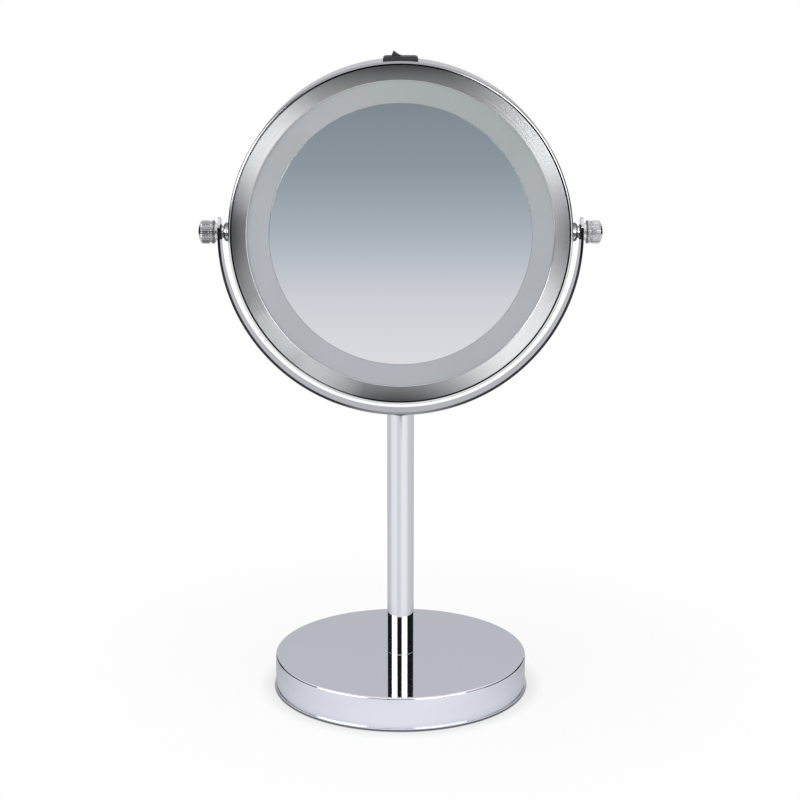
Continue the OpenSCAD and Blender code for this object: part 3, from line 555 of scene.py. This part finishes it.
def rod(r, low, high, turn=None, steps=48):
    """A plain cylinder for a cut, from one height to another, turned if asked."""
    shape = bmesh.new()
    bmesh.ops.create_cone(shape, cap_ends=True, segments=steps, radius1=r * mm, radius2=r * mm,
                          depth=(high - low) * mm,
                          matrix=Matrix.Translation((0, 0, (low + high) / 2 * mm)))
    if turn:
        shape.transform(turn)
    return shape


def rounded_edges(made, width):
    """Breaks a piece's sharp edges."""
    bevel = made.modifiers.new("broken_edges", "BEVEL")
    bevel.width = width * mm
    bevel.segments = 3
    bevel.limit_method = "ANGLE"
    bevel.angle_limit = math.radians(40)
    bevel.harden_normals = False
    made.modifiers.move(len(made.modifiers) - 1, 0)


on_tilt = Matrix.Translation((0, 0, pivot_z * mm))
on_right = on_tilt @ Matrix.Rotation(math.radians(90), 4, "Y")
on_left = on_tilt @ Matrix.Rotation(math.radians(-90), 4, "Y")
yoke_shape = bmesh.new()
across = [yoke_shape.verts.new((-yoke_out_r * mm, y * yoke_w / 2 * mm, yoke_z * mm))
          for y in (-1, 1)]
strip_end = yoke_shape.edges.new(across)
bmesh.ops.spin(yoke_shape, geom=[*across, strip_end], cent=(0, 0, yoke_z * mm),
               axis=(0, -1, 0), angle=math.pi, steps=120)
for edge in [e for e in yoke_shape.edges
             if e.is_boundary and all(abs(v.co.z - yoke_z * mm) < 1e-6 for v in e.verts)]:
    raised = bmesh.ops.extrude_edge_only(yoke_shape, edges=[edge])["geom"]
    for point in [g for g in raised if isinstance(g, bmesh.types.BMVert)]:
        point.co.z = lug_top * mm
bmesh.ops.bevel(
    yoke_shape, geom=[v for v in yoke_shape.verts if v.co.z > (lug_top - 0.01) * mm],
    offset=(yoke_w / 2 - 0.01) * mm, affect="VERTICES", segments=16, profile=0.5, material=-1)
bmesh.ops.remove_doubles(yoke_shape, verts=yoke_shape.verts, dist=1e-6)
bmesh.ops.recalc_face_normals(yoke_shape, faces=yoke_shape.faces)
outer_face = max(yoke_shape.faces, key=lambda f: f.calc_center_median().x)
if outer_face.normal.x < 0:
    bmesh.ops.reverse_faces(yoke_shape, faces=yoke_shape.faces)
bmesh.ops.solidify(yoke_shape, geom=yoke_shape.faces[:], thickness=yoke_t * mm)
yoke_chrome = drifting("yoke_chrome", (0.74, 0.74, 0.76), 0.95, 0.02, 0.06, 16.0, Metallic=1.0)
yoke_strip = piece("yoke_strip", yoke_shape, yoke_chrome)
for turn in (on_left, on_right):
    carved(yoke_strip, rod(pivot_bore_r, yoke_in_r - overrun, yoke_out_r + overrun, turn))
carved(yoke_strip, rod(rivet_r, yoke_foot - overrun, yoke_foot + overrun))
carved(yoke_strip, rod(rivet_head_r, yoke_foot + yoke_t / 2, yoke_foot + overrun))
rounded_edges(yoke_strip, yoke_edge_r)
fit(yoke_strip, "stand", "yoke_chrome", "yoke")

# ---- Drum band ----
# A strip rolled and welded to a ring, satin bright, with a slot for the switch and holes for
# the tilt screws. Both edges are broken where the rims meet it.
head_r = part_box("head_band")[1].x / mm
band_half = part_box("head_band")[1].y / mm
band_t = 1.2
band_edge_r = 0.15
band_bore_r = 3.0
band_in_r = head_r - band_t
in_head = on_tilt @ Matrix.Rotation(math.radians(90), 4, "X")
switch_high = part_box("switch_housing")[1]
flange_half_l = switch_high.x / mm
flange_half_w = switch_high.y / mm
flange_lap = 1.1


def block(low, high):
    """A plain box between two corners, in millimetres."""
    shape = bmesh.new()
    bmesh.ops.create_cube(shape, size=1.0)
    bmesh.ops.scale(shape, vec=[(b - a) * mm for a, b in zip(low, high)], verts=shape.verts)
    bmesh.ops.translate(shape, vec=[(a + b) / 2 * mm for a, b in zip(low, high)],
                        verts=shape.verts)
    return shape


band_chrome = drifting("band_chrome", (0.8, 0.8, 0.81), 0.96, 0.07, 0.12, 22.0, Metallic=1.0)
band_shape = turned([
    (band_in_r, -band_half, 0), (head_r, -band_half, band_edge_r),
    (head_r, band_half, band_edge_r), (band_in_r, band_half, 0)], 240)
band_shape.transform(in_head)
drum_band = piece("drum_band", band_shape, band_chrome)
for turn in (on_left, on_right):
    carved(drum_band, rod(band_bore_r, band_in_r - overrun, head_r + overrun, turn))
carved(drum_band, block(
    (flange_lap - flange_half_l, flange_lap - flange_half_w, pivot_z + head_r - overrun),
    (flange_half_l - flange_lap, flange_half_w - flange_lap, pivot_z + head_r + overrun)))
fit(drum_band, "head", "band_chrome", "head_band")

# ---- Rims ----
# Each is spun from sheet: a rounded polished edge, a fine crease, then a dished face brushed in
# circles, with a bow-tie sheen painted into its colour, and a polished inner lip over the glass.
half_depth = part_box("front_rim")[0].y / -mm
rim_edge_r = 1.3
rim_face_r = head_r - rim_edge_r
rim_in_r = head_r - 9.8
rim_dish = 1.6
rim_lip = 0.8
rim_crease_w = 0.5
rim_crease_depth = 0.4
rim_crease_in_r = rim_face_r - rim_crease_w
rim_crease_foot = half_depth - rim_crease_depth
glass_face = half_depth - rim_dish - rim_lip
glass_r = rim_in_r + 1.4
seat_r = glass_r + 0.2
seat_wall = 1.0
seat_foot = glass_face - 1.8
skirt_r = band_in_r - 0.1
skirt_wall = 1.2
skirt_foot = band_half - 7
rim_shoulder = band_half + 0.03
rim_outline = [
    (head_r, rim_shoulder, 0.12),
    (head_r, half_depth, rim_edge_r - 0.05),
    (rim_face_r, half_depth, 0.08),
    (rim_face_r, rim_crease_foot, 0.08),
    (rim_crease_in_r, rim_crease_foot, 0.08),
    (rim_crease_in_r, half_depth - 0.1, 0.1),
    (rim_in_r, half_depth - rim_dish, 0.35),
    (rim_in_r, glass_face, 0.1),
    (seat_r, glass_face, 0),
    (seat_r, seat_foot, 0),
    (seat_r + seat_wall, seat_foot, 0),
    (seat_r + seat_wall, half_depth - rim_dish - 0.1, 0),
    (skirt_r - skirt_wall, half_depth - 1.4, 0),
    (skirt_r - skirt_wall, skirt_foot, 0),
    (skirt_r, skirt_foot, 0.2),
    (skirt_r, rim_shoulder, 0),
]

# Where on the finish a point lies: how far out, in which direction, and on which band.
bow_share = 0.95
scratches_to_the_metre = 30000.0
scratch_depth = 1.5
rim_satin, shade = finish("rim_satin")
centred = place(shade).vector("MULTIPLY_ADD", (1, 0, 1), (0, 0, -pivot_z * mm))
reach = centred.vector("LENGTH", output="Value")
outward = centred.vector("NORMALIZE")
x = coordinate(outward, "X")
z = coordinate(outward, "Z")
face_in_r = rim_in_r + 0.45
face_out_r = rim_crease_in_r - 0.15
brushed = abs(reach - (face_in_r + face_out_r) / 2 * mm) < (face_out_r - face_in_r) / 2 * mm
# The crease's band, painted dark as shade.
painted_crease_shade = abs(reach - (rim_face_r + rim_crease_in_r) / 2 * mm) < (rim_crease_w / 2 + 0.2) * mm
shaded_outer_top = (reach > (head_r - 0.8) * mm) * (z > 0.0)
rings = shade.node("ShaderNodeTexNoise", {"noise_dimensions": "1D"}, {
    "W": reach * scratches_to_the_metre, "Scale": 1.0, "Detail": 2.0})

# The scratches tip the surface in and out, and the face leans a little more in some sectors:
# lower right, upper left, upper right and left.
lean = ranged(x - z, 0.0, 1.4, 0.0, 0.2)
for part_x, part_z, begins, amount in (
        (0.77, -0.64, 0.9, 0.15), (-0.85, 0.53, 0.88, -0.17), (0.64, 0.77, 0.85, 0.09),
        (-0.98, -0.17, 0.93, 0.2)):
    lean = lean + ranged(part_x * x + part_z * z, begins, 1.0, 0.0, amount)
tip = (rings - 0.5 + lean) * scratch_depth * brushed
tip_each_way = shade.node("ShaderNodeCombineXYZ", inputs={0: tip, 1: tip, 2: tip})
tipped = outward.vector("MULTIPLY_ADD", tip_each_way, shade.node(
    "ShaderNodeTexCoord", output="Normal")).vector("NORMALIZE")
in_world = shade.node("ShaderNodeVectorTransform", {
    "vector_type": "NORMAL", "convert_from": "OBJECT", "convert_to": "WORLD"}, {0: tipped})

# The bow-tie sheen is painted into the face's colour. Across the bow-tie it dies away to painted
# shade, more so towards the rim's edge and at the lower left, and it comes back a little at the
# right and low on the left. The crease is painted dark as shade, less so where it catches the
# light.
flat_z = z * (1.3 + 0.4 * z)
sheen_fading = ranged(-(x + z), 0.0, 1.4, 1.0, 0.5)
bow = (2.0 * x * flat_z / (x * x + flat_z * flat_z)) ** 2.0 * sheen_fading
sheen_right_edge = ranged(x, 0.8, 1.0, 0.0, 0.2)
sheen_low_left = ranged(-0.45 * x - 0.89 * z, 0.97, 1.0, 0.0, 0.35)
painted_dim_face = blended(ranged(reach, face_in_r * mm, face_out_r * mm),
              (0.29, 0.29, 0.295), (0.08, 0.08, 0.082))
satin = blended(bow * bow_share + sheen_right_edge + sheen_low_left + (1.0 - bow_share) * rings,
                painted_dim_face, (0.95, 0.965, 0.985))
# The polished edge is painted darker over its top half, as painted shade.
polished = blended(shaded_outer_top, (0.82, 0.82, 0.84), (0.4, 0.4, 0.41))
# Sectors where the crease's painted shade is lifted, as if it caught the light.
catch_both_ways = ranged(abs(0.5 * x + 0.87 * z), 0.96, 1.0, 0.0, 0.5)
catch_upper_left = ranged(0.57 * z - 0.82 * x, 0.85, 1.0, 0.0, 0.6)
crease_catches_light = shade.maths("MAXIMUM", catch_both_ways, catch_upper_left)
skin(blended(painted_crease_shade * (1.0 - crease_catches_light), blended(brushed, polished, satin), (0.045,) * 3),
     0.08 + 0.2 * brushed, Metallic=1.0, Normal=in_world)
in_cover = on_tilt @ Matrix.Rotation(math.radians(-90), 4, "X")
for name, turn, body, node in (("rim_front", in_head, "head", "front_rim"),
                               ("rim_rear", in_cover, "rear_cover", "rear_rim")):
    rim_shape = turned(rim_outline, 240)
    rim_shape.transform(turn)
    fit(piece(name, rim_shape, rim_satin), body, "rim_satin", node)

# ---- Mirrors ----
# Float glass silvered behind and ground round its edge: plane in front, slightly hollow at the
# rear, where it magnifies. The glass gives the reflection a trace of blue.
glass_t = 2.6
frosted_w = 11.6
mirror_r = rim_in_r - frosted_w
front_silvering = drifting("front_silvering", (0.87, 0.9, 0.92), 0.99, 0.004, 0.012, 9.0,
                           Metallic=1.0)
front_glass = turned([
    (0, glass_face - glass_t, 0), (mirror_r, glass_face - glass_t, 0.2),
    (mirror_r, glass_face, 0.1), (0, glass_face, 0)], 240)
front_glass.transform(in_head)
fit(piece("mirror_front", front_glass, front_silvering), "head", "front_silvering",
    "front_mirror")

rear_glass_t = 2.2
rear_hollow = 3.7
rear_curve_r = (glass_r ** 2 + rear_hollow ** 2) / (2 * rear_hollow)
rear_rings = 16


def hollow(r, behind):
    """How far out the hollow glass, or a skin behind it, stands at a radius."""
    curve_middle = glass_face + rear_curve_r - rear_hollow
    return curve_middle - math.sqrt((rear_curve_r + behind) ** 2 - r ** 2)


def dished(radii, front, back, steps):
    """A shell of the hollow glass' curve between two depths behind its face."""
    return turned([(r, hollow(r, back), 0) for r in radii]
                  + [(r, hollow(r, front), 0) for r in reversed(radii)], steps)


rear_silvering = drifting("rear_silvering", (0.87, 0.89, 0.91), 0.99, 0.004, 0.012, 9.0,
                          Metallic=1.0)
rear_glass = dished([glass_r * step / rear_rings for step in range(rear_rings + 1)],
                    0, rear_glass_t, 240)
rear_glass.transform(in_cover)
fit(piece("mirror_rear", rear_glass, rear_silvering), "rear_cover", "rear_silvering",
    "rear_mirror")

# ---- Frosted light ring ----
# A ring of the same glass, acid-etched to a silky white-grey that spreads the diodes' light.
# Its inner edge blends into the mirror.
ring_gap = 0.1
ring_in_r = mirror_r + ring_gap
frosted, shade = finish("frosted_glass")
spot = place(shade)
cloud = noise(spot, 24.0, 2.0)
etch = noise(spot, 5000.0, 2.0)
# Painted light: the etched glass is painted paler towards the lower left.
painted_light_low_left = spot.vector("DOT_PRODUCT", (-1.0, 0.0, -3.0), output="Value")
milky = blended(painted_light_low_left + (0.8 + 0.9 * cloud), (0.29, 0.32, 0.315), (0.385, 0.39, 0.435))
skin(milky, 0.62 + 0.08 * etch, Normal=bumps(etch, 0.4, 0.00005))
ring_shape = turned([
    (ring_in_r, glass_face - glass_t, 0), (glass_r, glass_face - glass_t, 0.2),
    (glass_r, glass_face, 0.2), (ring_in_r, glass_face, 0.15)], 240)
ring_shape.transform(in_head)
fit(piece("frosted_ring", ring_shape, frosted), "head", "frosted_glass", "light_ring")

# ---- Tilt joints: spacers, washers and thumb knobs ----
# Turned, chromed brass. A round bead stands between the drum and a nylon washer, and outside
# the yoke a fluted knob on its screw clamps them. The knobs are satin, their ends domed.
bead_r = 5.0
bead_l = 3.3
bead_round = 1.64
sleeve_r = 3.3
sleeve_end = yoke_in_r - 0.5
spacer_outline = [
    (pivot_bore_r, head_r, 0), (bead_r, head_r, bead_round),
    (bead_r, head_r + bead_l, bead_round), (sleeve_r, head_r + bead_l, 0.15),
    (sleeve_r, sleeve_end, 0.12), (pivot_bore_r, sleeve_end, 0)]
# The bead's reflection is painted onto its chrome in bands over its height: grey below, dark,
# white, and dark again on top.
spacer_chrome, shade = finish("spacer_chrome")
bead_height = (coordinate(place(shade), "Z") - (pivot_z - bead_r) * mm) / (2 * bead_r * mm)
bead_painted_reflection = shade.node("ShaderNodeValToRGB", {"stops": [
    (0.1, (0.1, 0.1, 0.1)), (0.16, (0.55, 0.55, 0.56)), (0.32, (0.5, 0.5, 0.51)),
    (0.37, (0.1, 0.1, 0.1)), (0.5, (0.18, 0.18, 0.18)), (0.55, (0.95, 0.95, 0.95)),
    (0.7, (0.95, 0.95, 0.95)), (0.78, (0.4, 0.4, 0.41)), (0.9, (0.18, 0.18, 0.18)),
]}, {0: bead_height})
skin(bead_painted_reflection, 0.04, Metallic=1.0)

knob_r = 6.15
knob_bevel = 0.4
flute_steps = 4
flute_depth = 0.28
knob_flutes = 36
knob_steps = knob_flutes * flute_steps
knob_in = yoke_out_r + 0.1
socket_r = 2.45
socket_end = knob_in + 5
neck_r = 4.6
neck_end = knob_in + 1.5
ring_end = neck_end + 2.0
groove_r = knob_r - 0.7
barrel_in = ring_end + 0.8
barrel_end = barrel_in + 4.3
knob_dome = 1.8
knob_end = barrel_end + knob_dome
dome_r = (knob_r ** 2 + knob_dome ** 2) / (2 * knob_dome)
dome_outline = [
    (r, knob_end - dome_r + math.sqrt(dome_r ** 2 - r ** 2), 0)
    for r in [(knob_r - knob_bevel) * step / 10 for step in range(10, -1, -1)]]
knob_outline = [
    (0, socket_end, 0), (socket_r, socket_end, 0), (socket_r, knob_in, 0),
    (neck_r, knob_in, 0.15), (neck_r, neck_end, 0), (knob_r - knob_bevel, neck_end, 0),
    (knob_r, neck_end + knob_bevel, 0), (knob_r, ring_end - knob_bevel, 0),
    (knob_r - knob_bevel, ring_end, 0), (groove_r, ring_end, 0), (groove_r, barrel_in, 0),
    (knob_r - knob_bevel, barrel_in, 0), (knob_r, barrel_in + knob_bevel, 0),
    (knob_r, barrel_end - knob_bevel, 0), (knob_r - knob_bevel, barrel_end, 0), *dome_outline]
# Shade is painted into the knobs' flutes and groove and at the foot of their rings. The right one
# is painted lighter, as if it stood more in the light, and the left one in mottled painted shade.
knob_chrome, shade = finish("knob_chrome")
spot = place(shade)
along = coordinate(spot, "X")
around = shade.maths("ARCTAN2", coordinate(spot, "Y"), coordinate(spot, "Z") - pivot_z * mm)
patches = noise(spot, 90.0, 4.0)
painted_lit_side = along > 0.0
sideways = abs(along)
domed = sideways > (barrel_end - knob_bevel - 0.05) * mm
fluted = (sideways > neck_end * mm) * (1.0 - domed)
groove_shade = abs(sideways - (ring_end + barrel_in) / 2 * mm) < 0.5 * mm
ring_foot_shade = abs(sideways - (neck_end + knob_bevel) * mm) < 0.45 * mm
flute_shade = (0.5 + 0.5 * shade.maths("SINE", around * knob_flutes)) * fluted
painted_knob_shade = flute_shade * (0.75 - 0.3 * painted_lit_side) + (0.2 - 0.2 * painted_lit_side) * patches
painted_darkest = shade.maths("MAXIMUM", 0.85 * ring_foot_shade,
                      shade.maths("MAXIMUM", 0.4 * groove_shade, painted_knob_shade))
skin(blended(painted_darkest, (0.76, 0.76, 0.77), (0.12, 0.12, 0.125)),
     0.22 + 0.06 * patches - 0.16 * domed, Metallic=1.0)
for side, turn in (("left", on_left), ("right", on_right)):
    spacer_shape = turned(spacer_outline, 96)
    spacer_shape.transform(turn)
    fit(piece(f"spacer_{side}", spacer_shape, spacer_chrome), "head", "spacer_chrome",
        f"pivot_spacer_{side}")
    knob_shape = turned(knob_outline, knob_steps)
    for point in knob_shape.verts:
        r = math.hypot(point.co.x, point.co.y)
        step = round(math.atan2(point.co.y, point.co.x) / (2 * math.pi) * knob_steps)
        if r > (knob_r - 0.01) * mm and step % flute_steps > 1:
            point.co.x *= 1 - flute_depth * mm / r
            point.co.y *= 1 - flute_depth * mm / r
    knob_shape.transform(turn)
    fit(piece(f"knob_{side}", knob_shape, knob_chrome, 25), f"knob_{side}", "knob_chrome",
        f"thumb_knob_{side}")


def dress(material, *nodes):
    """Gives solids of the frame their finish."""
    for name in nodes:
        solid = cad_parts[name]
        solid.data.materials.clear()
        solid.data.materials.append(material)


dress(drifting("washer_nylon", (0.02, 0.02, 0.02), 0.8, 0.35, 0.45, 150.0),
      "friction_washer_left", "friction_washer_right")

# ---- Switch ----
# A moulded black rocker switch pressed into the band's slot: a low flange that follows the
# drum, a box below it, and a rocker with a hollow top and two raised ends, tipped to one side.
flange_h = 1.85
flange_top = head_r + flange_h
flange_skirt = 2.0
switch_end_r = 1.6
housing_play = 0.2
housing_half_l = flange_half_l - flange_lap - housing_play
housing_half_w = flange_half_w - flange_lap - housing_play
housing_low = head_r - 12
switch_wall = 0.8
rocker_half_l = 4.9
rocker_play = 0.2
rocker_room = 1.4
rocker_half_w = housing_half_w - switch_wall - rocker_play
rocker_pin_y = flange_top - 3.0
rocker_pin_r = 0.8
rocker_rise = 4.56
rocker_hollow = 1.35
rocker_belly = ((5.5, 1.0), (2.2, -2.0), (-2.2, -2.0), (-5.5, 1.0))
rocker_tilt = math.radians(15)
moulded_grain = {"patch": 120.0, "grain": 2400.0, "relief": 0.00003}
switch_black = drifting("switch_black", (0.035, 0.035, 0.037), 0.8, 0.34, 0.44, **moulded_grain)
flange_shape = block((-flange_half_l, -flange_half_w, pivot_z + head_r - flange_skirt),
                     (flange_half_l, flange_half_w, pivot_z + flange_top))
top_edges = [e for e in flange_shape.edges if e.verts[0].co.x * e.verts[1].co.x > 0
             and all(v.co.z > (pivot_z + head_r) * mm for v in e.verts)]
bmesh.ops.bevel(flange_shape, geom=top_edges, offset=switch_end_r * mm, affect="EDGES",
                segments=6, profile=0.5, material=-1)
switch_body = piece("switch_body", flange_shape, switch_black)
carved(switch_body, rod(head_r, -band_half, band_half, in_head, 240))
carved(switch_body, block(
    (-housing_half_l, -housing_half_w, pivot_z + housing_low),
    (housing_half_l, housing_half_w, pivot_z + head_r + flange_h / 2)), "UNION")
carved(switch_body, block(
    (-rocker_half_l - rocker_room, switch_wall - housing_half_w,
     pivot_z + housing_low + switch_wall),
    (rocker_half_l + rocker_room, housing_half_w - switch_wall,
     pivot_z + flange_top + overrun)))
rounded_edges(switch_body, 0.2)
fit(switch_body, "head", "switch_black", "switch_housing")

rocker_curve_r = (rocker_half_l ** 2 + rocker_hollow ** 2) / (2 * rocker_hollow)
rocker_arc = math.asin(rocker_half_l / rocker_curve_r)
rocker_shape = bmesh.new()
horn = rocker_shape.verts.new((-rocker_half_l * mm, 0, rocker_rise * mm))
bmesh.ops.spin(rocker_shape, geom=[horn], axis=(0, -1, 0), angle=2 * rocker_arc, steps=14,
               cent=(0, 0, (rocker_rise - rocker_hollow + rocker_curve_r) * mm))
top_line = sorted(rocker_shape.verts, key=lambda v: v.co.x)
feet = [rocker_shape.verts.new((x * mm, 0, z * mm)) for x, z in rocker_belly]
rocker_face = rocker_shape.faces.new([*top_line, *feet])
rocker_side = bmesh.ops.extrude_face_region(rocker_shape, geom=[rocker_face])["geom"]
bmesh.ops.translate(rocker_shape, vec=(0, 2 * rocker_half_w * mm, 0),
                    verts=[g for g in rocker_side if isinstance(g, bmesh.types.BMVert)])
bmesh.ops.translate(rocker_shape, vec=(0, -rocker_half_w * mm, 0), verts=rocker_shape.verts)
bmesh.ops.recalc_face_normals(rocker_shape, faces=rocker_shape.faces)
on_rocker = Matrix.Translation((0, 0, (pivot_z + rocker_pin_y) * mm)) @ Matrix.Rotation(
    rocker_tilt, 4, "Y")
rocker_shape.transform(on_rocker)
rocker_black = drifting("rocker_black", (0.03, 0.03, 0.032), 0.8, 0.3, 0.4, **moulded_grain)
rocker = piece("rocker", rocker_shape, rocker_black)
pin_half_l = housing_half_w - 0.2
carved(rocker, rod(rocker_pin_r, -pin_half_l, pin_half_l,
                   on_rocker @ Matrix.Rotation(math.radians(90), 4, "X")), "UNION")
rounded_edges(rocker, 0.25)
fit(rocker, "rocker", "rocker_black", "switch_rocker")

# ---- Bonding foam ----
# Rings of thin double-sided foam, die-cut, that the front mirror and the rear one are stuck
# down with. The rear one follows the hollow glass.
foam_grey = drifting("dark_foam", (0.06, 0.06, 0.065), 0.7, 0.85, 0.95, 200.0, 1800.0, 0.0002)
front_pad_w = 8
pad_cut_r = 0.15
front_pad_low, front_pad_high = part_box("mirror_pad")
front_pad_r = front_pad_high.x / mm
front_pad_in_r = front_pad_r - front_pad_w
front_pad = turned([
    (front_pad_in_r, -front_pad_high.y / mm, pad_cut_r),
    (front_pad_r, -front_pad_high.y / mm, pad_cut_r),
    (front_pad_r, -front_pad_low.y / mm, pad_cut_r),
    (front_pad_in_r, -front_pad_low.y / mm, pad_cut_r)], 120)
front_pad.transform(in_head)
front_foam = piece("mirror_foam", front_pad, foam_grey)
fit(front_foam, "head", "dark_foam", "mirror_pad")
rear_pad_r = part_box("rear_pad")[1].x / mm
rear_pad_w = 12.0
rear_pad_t = 0.6
rear_pad = dished([rear_pad_r - rear_pad_w * step / 4 for step in range(5)],
                  rear_glass_t, rear_glass_t + rear_pad_t, 120)
rear_pad.transform(in_cover)
rear_foam = piece("rear_foam", rear_pad, foam_grey)
fit(rear_foam, "rear_cover", "dark_foam", "rear_pad")

# ---- Carriers and trays ----
# Injection-moulded in one satin plastic each: white round the light, which it spreads, and dark
# grey for the tray that the cells lie in. Both have a fine spark-eroded grain.
spark_grain = {"patch": 60.0, "grain": 1500.0, "relief": 0.00004}
dress(drifting("white_plastic", (0.8, 0.8, 0.78), 0.95, 0.42, 0.52, **spark_grain),
      "chassis_ring", "mirror_carrier", "rear_tray")
dress(drifting("grey_plastic", (0.11, 0.11, 0.12), 0.85, 0.42, 0.52, **spark_grain),
      "battery_tray")

# ---- Light board and wires ----
# A ring of green circuit board with warm diodes and small black resistors soldered on, fed by
# soft wires in red and black insulation from the cells and the switch.
dress(drifting("circuit_board", (0.03, 0.2, 0.09), 0.8, 0.3, 0.4, 80.0, 900.0, 0.00003),
      "led_board")
dress(drifting("diode_lens", (0.85, 0.78, 0.4), 0.9, 0.18, 0.26, 300.0), "leds")
dress(drifting("resistor_ceramic", (0.05, 0.05, 0.05), 0.6, 0.3, 0.45, 900.0), "led_resistors")
dress(drifting("red_insulation", (0.55, 0.03, 0.025), 0.85, 0.35, 0.45, 150.0), "wire_red")
dress(drifting("black_insulation", (0.025,) * 3, 0.8, 0.35, 0.45, 150.0), "wire_black")

# ---- Bare metal inside ----
# Nickel-plated springs and plates touch the cells, and the switch's blades and the tilt screws'
# inserts are brass. Screws, bolt, washers and the column's plugs are bright steel.
for name, colour, drift, smoothest, roughest, nodes in (
        ("contact_nickel", (0.72, 0.69, 0.62), 0.9, 0.14, 0.26,
         ("contact_springs", "contact_plates")),
        ("terminal_brass", (0.8, 0.6, 0.28), 0.9, 0.2, 0.32, ("switch_terminals",)),
        ("insert_brass", (0.78, 0.58, 0.27), 0.9, 0.22, 0.34,
         ("pivot_insert_left", "pivot_insert_right")),
        ("fastener_steel", (0.62, 0.62, 0.63), 0.88, 0.2, 0.34,
         ("base_plate_screws", "base_bolt", "base_flat_washer", "base_spring_washer",
          "carrier_screws", "tray_screws", "pivot_screw_left", "pivot_screw_right")),
        ("plug_steel", (0.55, 0.54, 0.52), 0.88, 0.24, 0.36,
         ("column_foot_plug", "column_head_plug"))):
    dress(drifting(name, colour, drift, smoothest, roughest, 120.0, Metallic=1.0), *nodes)
dress(yoke_chrome, "yoke_stud")

# ---- Weight and bottom plate ----
# The weight is cast iron, rough as it came from its mould and lightly painted. The plate that
# closes the base from below is a steel disc in dark paint.
dress(drifting("cast_weight", (0.15, 0.15, 0.16), 0.75, 0.6, 0.8, 40.0, 700.0, 0.0003),
      "base_weight")
dress(drifting("base_plate_paint", (0.2, 0.2, 0.21), 0.9, 0.45, 0.6, 50.0, 1300.0, 0.00005),
      "base_plate")

# ---- Cells ----
# Four of the size used in remote controls, side by side and head to tail. Each has a plain
# blue jacket, shrunk over its steel can, that stops short of the bare ends and the button.
cell_l = 44.5
cell_button_l = 1.2
cell_bare_l = 1.4
cell_d = 10.5
cell_gap = 0.7
cell_pitch = cell_d + cell_gap
spring_l = 4.5
cell_off_middle = (spring_l - cell_button_l) / 2
cell_skin, shade = finish("cell_jacket")
spot = place(shade)
row = shade.maths("FLOOR", (coordinate(spot, "Z") - pivot_z * mm) / (cell_pitch * mm))
way = 2.0 * shade.maths("FLOORED_MODULO", row, 2.0) - 1.0
from_middle = abs(coordinate(spot, "X") - way * (cell_off_middle * mm))
bare = from_middle > ((cell_l - cell_button_l) / 2 - cell_bare_l) * mm
patches = noise(spot, 60.0, 3.0)
jacket = blended(patches, (0.05, 0.12, 0.26), (0.045, 0.1, 0.22))
skin(blended(bare, jacket, (0.72, 0.7, 0.66)), 0.26 + 0.08 * patches,
     Metallic=0.4 + 0.6 * bare)
dress(cell_skin, "battery_cells")
